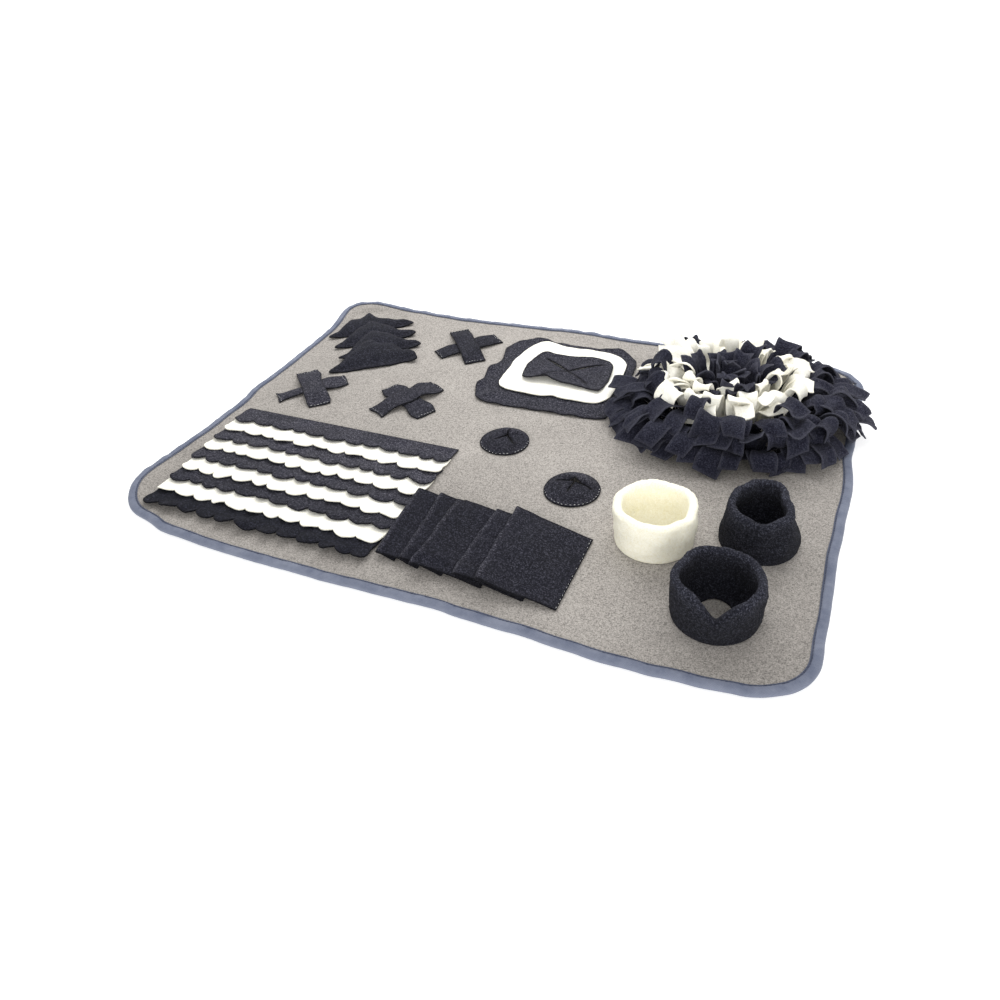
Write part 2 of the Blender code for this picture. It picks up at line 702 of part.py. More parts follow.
# ---------------------------------------------------------------- ruffle
def ring_point(ring, degrees, radius, height):
    """A point of a ring, seen from the ruffle's middle."""
    x, y = polar(radius, degrees)
    return Vector((RUFFLE_CENTRE[0] + x, RUFFLE_CENTRE[1] + y, height))


def make_ring(index, ring):
    """One comb of tabs: a narrow band sewn to the mat, its tabs bent up and outwards from it."""
    dice = random.Random(RING_SEED + index)
    step = 360.0 / ring.tabs
    start = step * dice.random()
    root_z = SEWN + RUFFLE_FLEECE / 2
    shape = bmesh.new()
    inner = []
    outer = []
    for tab in range(ring.tabs):
        turn = start + step * tab
        inner.append(shape.verts.new(ring_point(ring, turn, ring.root_r - RING_BAND, root_z) * MM))
        outer.append(shape.verts.new(ring_point(ring, turn, ring.root_r, root_z) * MM))
    for tab in range(ring.tabs):
        following = (tab + 1) % ring.tabs
        shape.faces.new((inner[tab], outer[tab], outer[following], inner[following]))
        middle = start + step * (tab + 0.5)
        edge = (outer[tab], outer[following])
        for left, right in tab_rows(ring, middle, dice):
            pair = (shape.verts.new(left * MM), shape.verts.new(right * MM))
            shape.faces.new((edge[0], pair[0], pair[1], edge[1]))
            edge = pair
    mesh = bpy.data.meshes.new(ring.name)
    shape.to_mesh(mesh)
    shape.free()
    made = add_object(ring.name, mesh, ring.cloth)
    thicken(made, RUFFLE_FLEECE, 0)


def spread_share(degrees):
    """How much further out the splayed tabs reach at an angle."""
    longer = 0.0
    for spread in SPREADS:
        away = abs((degrees - spread.degrees + 180.0) % 360.0 - 180.0)
        longer += spread.longer * bump(away, spread.reach)
    return longer


def tab_rows(ring, middle, dice):
    """Left and right points of one tab at its bend and at its tip."""
    yaw = dice.uniform(-TAB_YAW, TAB_YAW)
    stretch = 1.0 + dice.uniform(-TAB_LENGTH_SPREAD, TAB_LENGTH_SPREAD)
    if ring.splayed:
        stretch += spread_share(middle)
    rise = dice.uniform(-TAB_HEIGHT_SPREAD, TAB_HEIGHT_SPREAD)
    twist = dice.uniform(-TAB_TWIST, TAB_TWIST)
    root_chord = 2 * ring.root_r * math.sin(math.pi / ring.tabs)
    outward = Vector((*polar(1.0, middle + yaw), 0.0))
    across = Vector((*polar(1.0, middle + yaw + 90.0), 0.0))
    root = ring_point(ring, middle, ring.root_r, 0.0)
    rows = []
    for share, radius, height in (
        (TAB_BEND_SHARE, ring.bend_r, ring.bend_z),
        (1.0, ring.tip_r, ring.tip_z),
    ):
        reach = (radius - ring.root_r) * stretch
        width = root_chord + (ring.tip_width - root_chord) * share
        centre = root + outward * reach + Vector((0.0, 0.0, height + rise * share))
        half = across * width / 2 + Vector((0.0, 0.0, twist * share))
        rows.append((centre - half, centre + half))
    return rows


def main():
    """Build every piece of the mat."""
    remove_scene_objects()
    stations = outline_stations()
    make_mat(stations)
    make_binding(stations)
    for index in range(ROW_COUNT):
        make_scallop_row(index)
    for index, tier in enumerate(LEAF_TIERS):
        make_leaf(index, tier)
    for strip in STRIPS:
        make_strip(strip)
    make_target()
    for patch in PATCHES:
        make_patch(patch)
    make_flap()
    for cup in CUPS:
        make_cup(cup)
    for index, ring in enumerate(RINGS):
        make_ring(index, ring)


main()
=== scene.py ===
# %% Load the frame
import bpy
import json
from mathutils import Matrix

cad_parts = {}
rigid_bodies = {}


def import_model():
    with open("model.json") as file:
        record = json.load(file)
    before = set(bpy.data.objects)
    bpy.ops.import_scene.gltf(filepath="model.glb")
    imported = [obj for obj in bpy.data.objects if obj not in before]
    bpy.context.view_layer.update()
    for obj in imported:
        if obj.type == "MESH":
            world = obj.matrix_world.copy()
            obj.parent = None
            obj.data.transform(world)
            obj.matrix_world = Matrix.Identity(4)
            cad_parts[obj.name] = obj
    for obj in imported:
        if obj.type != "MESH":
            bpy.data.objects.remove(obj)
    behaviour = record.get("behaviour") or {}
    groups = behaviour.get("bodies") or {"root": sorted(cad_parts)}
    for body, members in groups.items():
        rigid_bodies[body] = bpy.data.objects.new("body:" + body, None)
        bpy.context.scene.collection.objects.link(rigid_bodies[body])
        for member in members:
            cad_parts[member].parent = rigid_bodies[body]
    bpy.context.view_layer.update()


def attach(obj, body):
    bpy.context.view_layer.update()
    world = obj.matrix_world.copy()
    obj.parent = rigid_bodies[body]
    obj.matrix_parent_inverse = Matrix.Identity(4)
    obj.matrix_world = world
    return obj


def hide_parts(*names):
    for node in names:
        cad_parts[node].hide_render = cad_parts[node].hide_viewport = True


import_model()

# %% [markdown]
# # A snuffle mat in fleece
#
# A snuffle mat is a bound fleece sheet with hiding places sewn on it: scalloped rows, leaf flaps,
# crossed strips, layered panels, slit patches, a pleated flap, cups and a big ruffle. All of it is
# thin cloth, so one idea serves every piece. A piece is first *cut*, as a flat outline or as rows of
# points. It is then *laid*, by working out a height for each point. Last it is *given its thickness*,
# with a soft rounded edge. Sizes are in millimetres until a mesh is made.

# %% Modules and shared sizes
import json
import math
from collections import namedtuple

import bpy
import numpy as np
from mathutils import Matrix, Vector
from mathutils.geometry import delaunay_2d_cdt

MM = 0.001
MAT_LENGTH = 650.0
MAT_WIDTH = 500.0
MAT_THICKNESS = 3.0
GAP = 0.3
FLEECE = 1.6
SEWN = MAT_THICKNESS + GAP


def table(columns, *rows):
    """A table as a list of rows, whose columns are called by name."""
    kind = namedtuple("Row", columns)
    return [kind(*row) for row in rows]


def place_object(name, data):
    """A new object, put in the scene."""
    made = bpy.data.objects.new(name, data)
    bpy.context.scene.collection.objects.link(made)
    return made


print("shared sizes: cloth", FLEECE, "mm, on a mat", MAT_LENGTH, "x", MAT_WIDTH, "mm")

# %% [markdown]
# ## The camera and the studio
#
# The mat is seen from its near right side, from about half a metre up, with a moderately wide lens.
# A camera looks along its own -Z, so its matrix is built from three directions: its right, its up and
# the opposite of the way it looks. A small roll tips the horizon. The studio is a self-lit white floor,
# a pale world that fills every shadow, and two softboxes: one close behind the mat, and a larger one
# further off in front. A lamp that stands close falls off quickly, so the far half of the mat is
# brighter than the near half.

# %% Camera
CAMERA_PLACE = (0.29059, -0.64741, 0.46757)
CAMERA_TURN = -25.465
CAMERA_DOWN = 37.418
CAMERA_ROLL = -3.827
FOCAL_PIXELS = 821.14
FRAME_PIXELS = 1000.0
SENSOR = 36.0


def add_camera():
    """The camera, aimed by its turn from +Y, its angle downwards and its roll."""
    turn = math.radians(CAMERA_TURN)
    down = math.radians(CAMERA_DOWN)
    roll = math.radians(CAMERA_ROLL)
    ahead = Vector((math.sin(turn) * math.cos(down), math.cos(turn) * math.cos(down), -math.sin(down)))
    level = ahead.cross(Vector((0.0, 0.0, 1.0))).normalized()
    upward = level.cross(ahead)
    right = level * math.cos(roll) + upward * math.sin(roll)
    top = upward * math.cos(roll) - level * math.sin(roll)
    data = bpy.data.cameras.new("camera")
    data.sensor_width = SENSOR
    data.lens = SENSOR * FOCAL_PIXELS / FRAME_PIXELS
    data.clip_start = 0.01
    made = place_object("camera", data)
    aim = Matrix((right, top, -ahead)).transposed().to_4x4()
    made.matrix_world = Matrix.Translation(CAMERA_PLACE) @ aim
    bpy.context.scene.camera = made
    print("lens, mm:", round(data.lens, 2))


add_camera()

# %% Floor, world and lamps
LAMPS = table(
    "name place aim width height watts",
    ("key_softbox", (-0.12, 0.72, 0.80), (0.0, 0.08, 0.0), 1.3, 0.8, 12.5),
    ("fill_softbox", (0.75, -1.9, 0.75), (0.1, 0.0, 0.0), 1.6, 1.2, 21.0),
)
FLOOR_HALF = 6.0
FLOOR_DROP = 0.0004
WORLD_STRENGTH = 0.86
FLOOR_ALBEDO = 0.62
FLOOR_GLOW = 0.58
WHITE = (1.0, 1.0, 1.0, 1.0)


def add_floor():
    """A white sweep just under the mat, a little self-lit so that it stays clean."""
    sides = ((-1, -1), (1, -1), (1, 1), (-1, 1))
    corners = [(x * FLOOR_HALF, y * FLOOR_HALF, -FLOOR_DROP) for x, y in sides]
    mesh = bpy.data.meshes.new("studio_floor")
    mesh.from_pydata(corners, [], [(0, 1, 2, 3)])
    floor = place_object("studio_floor", mesh)
    white = bpy.data.materials.new("studio_white")
    white.use_nodes = True
    shader = white.node_tree.nodes["Principled BSDF"]
    shader.inputs["Base Color"].default_value = (FLOOR_ALBEDO, FLOOR_ALBEDO, FLOOR_ALBEDO, 1.0)
    shader.inputs["Roughness"].default_value = 0.9
    shader.inputs["Specular IOR Level"].default_value = 0.0
    shader.inputs["Emission Color"].default_value = WHITE
    shader.inputs["Emission Strength"].default_value = FLOOR_GLOW
    mesh.materials.append(white)


def add_lamp(lamp):
    """One big rectangular softbox, aimed at a point of the mat."""
    data = bpy.data.lights.new(lamp.name, "AREA")
    data.shape = "RECTANGLE"
    data.size = lamp.width
    data.size_y = lamp.height
    data.energy = lamp.watts
    made = place_object(lamp.name, data)
    made.location = lamp.place
    towards = Vector(lamp.aim) - Vector(lamp.place)
    made.rotation_euler = towards.to_track_quat("-Z", "Y").to_euler()


def add_world():
    """An even white surround, which fills the shadows."""
    world = bpy.data.worlds.new("studio_world")
    world.use_nodes = True
    surround = world.node_tree.nodes["Background"]
    surround.inputs["Color"].default_value = WHITE
    surround.inputs["Strength"].default_value = WORLD_STRENGTH
    bpy.context.scene.world = world


add_floor()
add_world()
for lamp in LAMPS:
    add_lamp(lamp)
bpy.context.scene.view_settings.view_transform = "Standard"
print("lamps:", [lamp.name for lamp in LAMPS])

# %% [markdown]
# ## Fleece, as a material
#
# Fleece has no weave to see. It has a nap: a dense fuzz that clumps into grains of about a millimetre,
# with lighter and darker fibres mixed, and broader cloudy patches where it has been stroked one way.
# Noise at three sizes gives those. They sit in one shader node group, "fleece nap", which puts out
# masks and a height, so that each fleece can use the same nap with its own numbers.
#
# A second group reads two attributes of a piece. `cut_edge` is 1 at its cut edge and falls to 0 just
# inside it, where the colour turns to an edge tone: a painted shade along the rim on most cloths, a
# painted highlight on the ruffle's tabs. The other attribute is painted light and shade: above 0 it makes
# the colour lighter, a painted highlight, and below 0 darker, a painted shade. The shader itself stays
# in each material.

# %% Helpers for node trees
def add_node(tree, kind, inputs=None, **settings):
    """Add a node and set its properties. An input takes a plain value, or a socket to link it to."""
    node = tree.nodes.new(kind)
    for key, value in settings.items():
        setattr(node, key, value)
    for key, value in (inputs or {}).items():
        if isinstance(value, bpy.types.NodeSocket):
            tree.links.new(value, node.inputs[key])
        else:
            node.inputs[key].default_value = value
    return node


def flow(tree, kind, inputs, output=0, **settings):
    """Add a node and give one of its outputs."""
    return add_node(tree, kind, inputs, **settings).outputs[output]


def calculate(tree, operation, first, second):
    """One sum on two values, each a socket or a number."""
    return flow(tree, "ShaderNodeMath", {0: first, 1: second}, operation=operation)


def noise(tree, place, size_mm, detail, roughness):
    """Noise whose grains are about size_mm across."""
    values = {"Vector": place, "Scale": 1.0 / (size_mm * MM), "Detail": detail, "Roughness": roughness}
    return flow(tree, "ShaderNodeTexNoise", values, "Fac")


def spread(tree, value, low, high):
    """Stretch a mask so that low becomes 0 and high becomes 1."""
    values = {"Value": value, "From Min": low, "From Max": high}
    return flow(tree, "ShaderNodeMapRange", values, "Result", clamp=True)


def blend_values(tree, first, second, share):
    """Mix two values by a fixed share."""
    return flow(tree, "ShaderNodeMix", {0: share, 2: first, 3: second}, data_type="FLOAT")


def mix_colour(tree, share, first, second):
    """Mix two colours; each is a socket or a plain colour, and share is a socket or a number."""
    first, second = [c if isinstance(c, bpy.types.NodeSocket) else (*c, 1.0) for c in (first, second)]
    return flow(tree, "ShaderNodeMix", {0: share, 6: first, 7: second}, 2, data_type="RGBA")


def attribute(tree, name):
    """A piece's own attribute, as a mask."""
    return add_node(tree, "ShaderNodeAttribute", attribute_name=name).outputs["Fac"]


def new_tree(name, kind, inputs, outputs):
    """A tree with named inputs and outputs: the tree, its input sockets and its output node."""
    tree = bpy.data.node_groups.new(name, kind + "NodeTree")
    for label, socket, value in inputs:
        made = tree.interface.new_socket(label, in_out="INPUT", socket_type="NodeSocket" + socket)
        if value is not None:
            made.default_value = value
    for label, socket in outputs:
        tree.interface.new_socket(label, in_out="OUTPUT", socket_type="NodeSocket" + socket)
    return tree, tree.nodes.new("NodeGroupInput").outputs, tree.nodes.new("NodeGroupOutput")


# %% The nap, as a shared node group
NAP_GRAIN_MM = 1.1
NAP_CLUMP_MM = 2.4
NAP_CLOUD_MM = 42.0
NAP_SHARE = 0.75
CLUMPS_IN_COLOUR = 0.30
CLUMPS_IN_HEIGHT = 0.35
LIGHT_RANGE = (0.51, 0.62)
DARK_RANGE = (0.49, 0.37)
CLOUD_RANGE = (0.30, 0.70)


def make_nap_group():
    """Masks for light fibres, dark pits and cloudy patches, and the height of the pile."""
    masks = [(mask, "Float") for mask in ("Light Fibres", "Dark Pits", "Clouds", "Pile Height")]
    group, given, outgoing = new_tree("fleece nap", "Shader", [("Nap Scale", "Float", 1.0)], masks)
    where = add_node(group, "ShaderNodeTexCoord").outputs["Object"]
    scaled = {0: where, "Scale": given["Nap Scale"]}
    place = flow(group, "ShaderNodeVectorMath", scaled, operation="SCALE")
    grain = noise(group, place, NAP_GRAIN_MM, 2.0, 0.60)
    clump = noise(group, place, NAP_CLUMP_MM, 2.0, 0.55)
    cloud = noise(group, where, NAP_CLOUD_MM, 2.0, 0.5)
    fibres = blend_values(group, grain, clump, CLUMPS_IN_COLOUR)
    found = {
        "Light Fibres": spread(group, fibres, *LIGHT_RANGE),
        "Dark Pits": spread(group, fibres, *DARK_RANGE),
        "Clouds": spread(group, cloud, *CLOUD_RANGE),
        "Pile Height": blend_values(group, grain, clump, CLUMPS_IN_HEIGHT),
    }
    for label, value in found.items():
        group.links.new(value, outgoing.inputs[label])
    return group


NAP = make_nap_group()
print("nap group outputs:", [s.name for s in NAP.interface.items_tree if s.in_out == "OUTPUT"])


# %% The painted cut edge and the painted light, as a shared node group
PAINTED_EDGE_AND_LIGHT_INPUTS = (
    ("Colour", "Color", None),
    ("Edge Colour", "Color", None),
    ("Edge Share", "Float", None),
    ("Brushed Gain", "Vector", None),
)


def make_painted_edge_and_light_group():
    """A cloth's colour, with a painted tone at its cut edge and painted light: lighter above 0, darker
    below.
    """
    name = "cut edge and brushed pile"
    group, given, outgoing = new_tree(name, "Shader", PAINTED_EDGE_AND_LIGHT_INPUTS, [("Colour", "Color")])
    # A painted tone at the cut edge, then painted light and shade, which scales the colour up or down.
    share = calculate(group, "MULTIPLY", attribute(group, "cut_edge"), given["Edge Share"])
    colour = mix_colour(group, share, given["Colour"], given["Edge Colour"])
    brushed = {0: given["Brushed Gain"], "Scale": attribute(group, "brushed")}
    gain = flow(group, "ShaderNodeVectorMath", brushed, operation="SCALE")
    lit = flow(group, "ShaderNodeVectorMath", {0: colour, 1: gain, 2: colour}, operation="MULTIPLY_ADD")
    group.links.new(lit, outgoing.inputs["Colour"])
    return group


PAINTED_EDGE_AND_LIGHT = make_painted_edge_and_light_group()
print("painted edge and light group inputs:", [label for label, _, _ in PAINTED_EDGE_AND_LIGHT_INPUTS])

# %% [markdown]
# ## The fleeces
#
# Five colours of cloth are one recipe with five sets of numbers, and the ruffle's dark cloth a sixth:
# a lighter copy of the charcoal, painted light for the ruffle, with a painted highlight along every cut
# of its narrow tabs. The dark cups are of a longer, curlier pile, so their bump is deeper. The cream cup
# is a warmer ivory than the cream rows.

# %% Fleece materials
# The edge colour is painted at a cut edge: darker on most cloths, a painted shade along the rim, and much
# paler on the ruffle, a painted highlight. The last column is the tint by which painted light lifts each
# colour.
FLEECES = table(
    "name base light dark cloud edge edge_share nap_scale bump_mm sheen brushed",
    (
        "taupe_fleece",
        (0.272, 0.253, 0.234), (0.42, 0.39, 0.36), (0.105, 0.097, 0.089), (0.296, 0.277, 0.256),
        (0.20, 0.18, 0.16), 0.5, 1.0, 0.60, 0.04, (0.24, 0.24, 0.24),
    ),
    (
        "charcoal_fleece",
        (0.0066, 0.0069, 0.0124), (0.052, 0.052, 0.071), (0.0026, 0.0026, 0.0045), (0.0092, 0.0095, 0.0138),
        (0.0030, 0.0030, 0.0045), 0.85, 1.0, 0.60, 0.02, (1.10, 1.04, 0.84),
    ),
    (
        "cream_fleece",
        (0.915, 0.895, 0.805), (0.95, 0.935, 0.87), (0.80, 0.77, 0.64), (0.93, 0.915, 0.84),
        (0.86, 0.82, 0.68), 0.4, 1.0, 0.45, 0.05, (0.02, 0.02, 0.02),
    ),
    (
        "ruffle_fleece",
        (0.0106, 0.0111, 0.0210), (0.050, 0.051, 0.074), (0.0035, 0.0035, 0.0075), (0.0165, 0.0170, 0.0280),
        (0.074, 0.075, 0.096), 0.46, 1.15, 0.55, 0.02, (1.05, 1.0, 0.85),
    ),
    (
        "curly_charcoal_fleece",
        (0.0072, 0.0075, 0.0118), (0.050, 0.052, 0.068), (0.0022, 0.0022, 0.0038), (0.0092, 0.0096, 0.0142),
        (0.02, 0.02, 0.03), 0.3, 1.05, 2.6, 0.02, (1.0, 1.0, 1.0),
    ),
    (
        "ivory_fleece",
        (0.900, 0.868, 0.715), (0.94, 0.92, 0.81), (0.84, 0.79, 0.60), (0.915, 0.888, 0.750),
        (0.86, 0.82, 0.62), 0.4, 0.85, 0.6, 0.05, (0.02, 0.02, 0.02),
    ),
)


# %% Make the fleeces
def new_material(name, shown, values):
    """A material, its node tree and its shader, with the shader's own sockets set."""
    made = bpy.data.materials.new(name)
    made.use_nodes = True
    made.diffuse_color = (*shown, 1.0)
    shader = made.node_tree.nodes["Principled BSDF"]
    for key, value in values.items():
        shader.inputs[key].default_value = value
    return made, made.node_tree, shader


def dress(tree, shader, colour, height, strength, depth_mm):
    """Give a shader its colour and its bump."""
    values = {"Height": height, "Strength": strength, "Distance": depth_mm * MM}
    tree.links.new(colour, shader.inputs["Base Color"])
    tree.links.new(flow(tree, "ShaderNodeBump", values), shader.inputs["Normal"])


def make_fleece(cloth):
    """A matt fleece: cloudy base, dark pits, light fibres, painted edge tone and light, and a bumpy pile.
    """
    matt = {
        "Roughness": 0.95,
        "Specular IOR Level": 0.12,
        "Sheen Weight": cloth.sheen,
        "Sheen Roughness": 0.55,
    }
    made, tree, shader = new_material(cloth.name, cloth.base, matt)
    nap = add_node(tree, "ShaderNodeGroup", {"Nap Scale": cloth.nap_scale}, node_tree=NAP).outputs
    colour = mix_colour(tree, nap["Clouds"], cloth.base, cloth.cloud)
    for mask, tone in (("Dark Pits", cloth.dark), ("Light Fibres", cloth.light)):
        colour = mix_colour(tree, calculate(tree, "MULTIPLY", nap[mask], NAP_SHARE), colour, tone)
    # The inputs of the painted cut edge tone and of the painted light.
    worn = {
        "Colour": colour,
        "Edge Colour": (*cloth.edge, 1.0),
        "Edge Share": cloth.edge_share,
        "Brushed Gain": cloth.brushed,
    }
    colour = flow(tree, "ShaderNodeGroup", worn, node_tree=PAINTED_EDGE_AND_LIGHT)
    dress(tree, shader, colour, nap["Pile Height"], 1.0, cloth.bump_mm)
    return made


fleeces = [make_fleece(cloth) for cloth in FLEECES]
taupe_fleece, charcoal_fleece, cream_fleece, ruffle_fleece, curly_fleece, ivory_fleece = fleeces
PLAIN_CLOTH = {"charcoal_fleece": charcoal_fleece, "cream_fleece": cream_fleece}
print("fleeces:", [made.name for made in fleeces])

# %% [markdown]
# ## Tape and thread, as materials
#
# The binding is woven bias tape. Its yarns cross at 45 degrees to its edge, and are so fine that they
# show as a faint diagonal rib. The tape is painted paler at its outer fold, a painted highlight, and darker
# where it is sewn, a painted shade in the groove. Two crossed wave textures give the ribs, and two
# attributes of the tape, for the painted highlight and the painted shade, the rest. Thread is smooth,
# slightly shiny and twisted, so it gets a fine wave of its own.

# %% Tape and thread materials
TAPE_COLOUR = (0.108, 0.125, 0.180)
# TAPE_PALE serves both for paler patches and fuzz and as a painted highlight at the outer fold. The last
# colour is a painted shade, for the groove where the tape is sewn.
TAPE_PALE = (0.185, 0.203, 0.262)
TAPE_DARK = (0.052, 0.062, 0.098)
TAPE_SEAM_SHADE = (0.020, 0.026, 0.052)
RIB_MM = 0.9
WAVES_PER_UNIT = 0.31
BIAS_DEGREES = 45.0
TAPE_PATCH_MM = 14.0
TAPE_FUZZ_MM = 1.1
THREAD_TONE_MM = 5.0
THREAD_TWIST = 900.0
NAVY = ((0.014, 0.020, 0.048), (0.035, 0.045, 0.085))
PALE = ((0.30, 0.30, 0.31), (0.55, 0.55, 0.54))


def ribs_across(tree, place, direction):
    """Ribs across one diagonal."""
    scale = 1.0 / (RIB_MM * MM) * WAVES_PER_UNIT
    values = {"Vector": place, "Scale": scale, "Distortion": 1.2, "Detail": 1.0}
    return flow(tree, "ShaderNodeTexWave", values, "Fac", bands_direction=direction)


def make_tape():
    """Blue-grey woven tape: crossed ribs, darker patches, a painted highlight and a painted shade at its
    seam.
    """
    woven = {"Roughness": 0.80, "Specular IOR Level": 0.25, "Sheen Weight": 0.08}
    made, tree, shader = new_material("blue_grey_tape", TAPE_COLOUR, woven)
    where = add_node(tree, "ShaderNodeTexCoord").outputs["Object"]
    bias = {"Vector": where, "Rotation": (0.0, 0.0, math.radians(BIAS_DEGREES))}
    turned = flow(tree, "ShaderNodeMapping", bias)
    ribs = blend_values(tree, ribs_across(tree, turned, "X"), ribs_across(tree, turned, "Y"), 0.5)
    patches = noise(tree, where, TAPE_PATCH_MM, 3.0, 0.6)
    fuzz = noise(tree, where, TAPE_FUZZ_MM, 2.0, 0.6)
    colour = mix_colour(tree, spread(tree, patches, 0.35, 0.70), TAPE_COLOUR, TAPE_PALE)
    # The last two layers are painted light: a painted highlight round the outer fold, painted shade at the
    # seam.
    layers = (
        (spread(tree, ribs, 0.55, 0.2), 0.45, TAPE_DARK),
        (spread(tree, fuzz, 0.55, 0.75), 0.35, TAPE_PALE),
        (attribute(tree, "worn"), 0.55, TAPE_PALE),
        (attribute(tree, "seam"), 0.75, TAPE_SEAM_SHADE),
    )
    for mask, share, tone in layers:
        colour = mix_colour(tree, calculate(tree, "MULTIPLY", mask, share), colour, tone)
    dress(tree, shader, colour, blend_values(tree, ribs, fuzz, 0.4), 0.7, 0.25)
    return made


def make_thread(name, colour, pale):
    """Sewing thread: a fine twist, a slight shine and uneven colour along its length."""
    made, tree, shader = new_material(name, colour, {"Roughness": 0.55})
    where = add_node(tree, "ShaderNodeTexCoord").outputs["Object"]
    tone = spread(tree, noise(tree, where, THREAD_TONE_MM, 2.0, 0.5), 0.35, 0.65)
    values = {"Vector": where, "Scale": THREAD_TWIST, "Distortion": 0.5}
    twist = flow(tree, "ShaderNodeTexWave", values, "Fac", bands_direction="DIAGONAL")
    dress(tree, shader, mix_colour(tree, tone, colour, pale), twist, 0.5, 0.08)
    return made


blue_grey_tape = make_tape()
navy_thread = make_thread("navy_thread", *NAVY)
pale_thread = make_thread("pale_thread", *PALE)
print("materials:", [m.name for m in bpy.data.materials if m.users])

# %% [markdown]
# ## Laying and thickening cloth
#
# A sheet is a set of points with faces between them, and for each point its distance from the nearest
# cut edge. `thick_sheet` copies the points a half thickness to either side, along their normals, and
# closes the rim. Near the cut edge the half thickness shrinks, so the edge comes out round, as soft
# cloth does. That distance is also kept, as `cut_edge`, for the material. The unevenness of hand work
# comes from a few long sine waves added up, which is smoother and calmer than noise. The last number
# given to `uneven` is its seed. Each use has its own, so that no two edges are alike, and it is fixed,
# so that every run of the script gives the same mat.

# %% Small shapes that every piece uses
EDGE_ROUNDING = 0.45
CUT_EDGE_WIDTH = 1.6
EDGE_STATIONS = (0.0, 0.25, 0.8)
SPOT = "x y reach amount"
CREASE = "x y turn length width height"


def soft_step(share):
    """0 to 1 with a soft start and end."""
    share = np.clip(share, 0.0, 1.0)
    return share * share * (3.0 - 2.0 * share)


def bump(distance, reach):
    """A soft bump: 1 at its middle, near 0 at twice its reach."""
    return np.exp(-((distance / reach) ** 2))


def pointing(degrees):
    """The flat direction at an angle from +X."""
    turn = np.radians(degrees)
    return np.stack([np.cos(turn), np.sin(turn)], axis=-1)


def seen_from(place, turn, x, y):
    """How far points lie ahead of a place and to its left, when it faces along a turn."""
    along = pointing(turn)
    ahead = (x - place[0]) * along[0] + (y - place[1]) * along[1]
    aside = (y - place[1]) * along[0] - (x - place[0]) * along[1]
    return ahead, aside


def laid_at(piece, ahead, aside):
    """The x and y of points given ahead of a piece's place and to its left."""
    along, left = pointing(piece.turn), pointing(piece.turn + 90.0)
    return [start + along[k] * ahead + left[k] * aside for k, start in enumerate((piece.x, piece.y))]


def angle_between(first, second):
    """The angle between two directions, 0 to 180 degrees."""
    return np.abs((first - second + 180.0) % 360.0 - 180.0)


def spots_on(x, y, spots, start=0.0):
    """Soft round spots added up; a table gives each one's place, reach and amount."""
    total = start
    for spot in spots:
        total = total + spot.amount * bump(np.hypot(x - spot.x, y - spot.y), spot.reach)
    return total


def smoothed(values, count):
    """Each value averaged with its neighbours, count of them in all."""
    return np.convolve(np.pad(values, count // 2, mode="edge"), np.ones(count) / count, mode="valid")


def distances_along(line):
    """How far along a line each of its points lies."""
    steps = np.linalg.norm(np.diff(line, axis=0), axis=1)
    return np.concatenate([[0.0], np.cumsum(steps)])


def read_off(places, travelled, columns):
    """The columns of a table, read off at places along a line."""
    return np.stack([np.interp(places, travelled, column) for column in np.transpose(columns)], axis=1)


def uneven(x, y, size, seed):
    """Gentle unevenness, between about -1 and 1, with waves about size across; y is 0 along a line."""
    dice = np.random.default_rng(seed)
    total = 0.0
    for _ in range(6):
        turn = dice.uniform(0.0, 2.0 * math.pi)
        length = size * dice.uniform(0.7, 1.6)
        phase = dice.uniform(0.0, 2.0 * math.pi)
        total = total + np.sin((x * math.cos(turn) + y * math.sin(turn)) * 2.0 * math.pi / length + phase)
    return total / 3.0


def stations(length, spacing):
    """Places along a length: close together at both ends, for rounded edges, and even between."""
    inner = EDGE_STATIONS[-1]
    steps = max(2, round((length - 2.0 * inner) / spacing))
    middle = np.linspace(inner, length - inner, steps + 1)
    start = np.array(EDGE_STATIONS[:-1])
    return np.concatenate([start, middle, (length - start)[::-1]])


# %% Give a sheet its thickness
def vertex_normals(points, faces):
    """Unit normals at the points of a sheet, averaged over the faces round them."""
    corners = points[faces]
    if faces.shape[1] == 4:
        facing = np.cross(corners[:, 2] - corners[:, 0], corners[:, 3] - corners[:, 1])
    else:
        facing = np.cross(corners[:, 1] - corners[:, 0], corners[:, 2] - corners[:, 0])
    normals = np.zeros_like(points)
    for corner in range(faces.shape[1]):
        np.add.at(normals, faces[:, corner], facing)
    return normals / np.maximum(np.linalg.norm(normals, axis=1, keepdims=True), 1e-12)


def rim_edges(faces, count):
    """The directed edges that only one face has: the cut edge of the sheet."""
    starts = faces.ravel()
    ends = np.roll(faces, -1, axis=1).ravel()
    lone = ~np.isin(starts * count + ends, ends * count + starts)
    return starts[lone], ends[lone]


def write_attribute(mesh, key, values):
    """Keep one number for each point of a mesh, under a name."""
    layer = mesh.attributes.new(key, "FLOAT", "POINT")
    layer.data.foreach_set("value", np.asarray(values, dtype=np.float32))


def plain_object(name, vertices, polygons, material, extras):
    """A smooth mesh object made from millimetres, with float attributes on its points."""
    mesh = bpy.data.meshes.new(name)
    mesh.from_pydata((vertices * MM).tolist(), [], polygons)
    mesh.polygons.foreach_set("use_smooth", [True] * len(mesh.polygons))
    for key, values in extras.items():
        write_attribute(mesh, key, values)
    mesh.materials.append(material)
    return place_object(name, mesh)


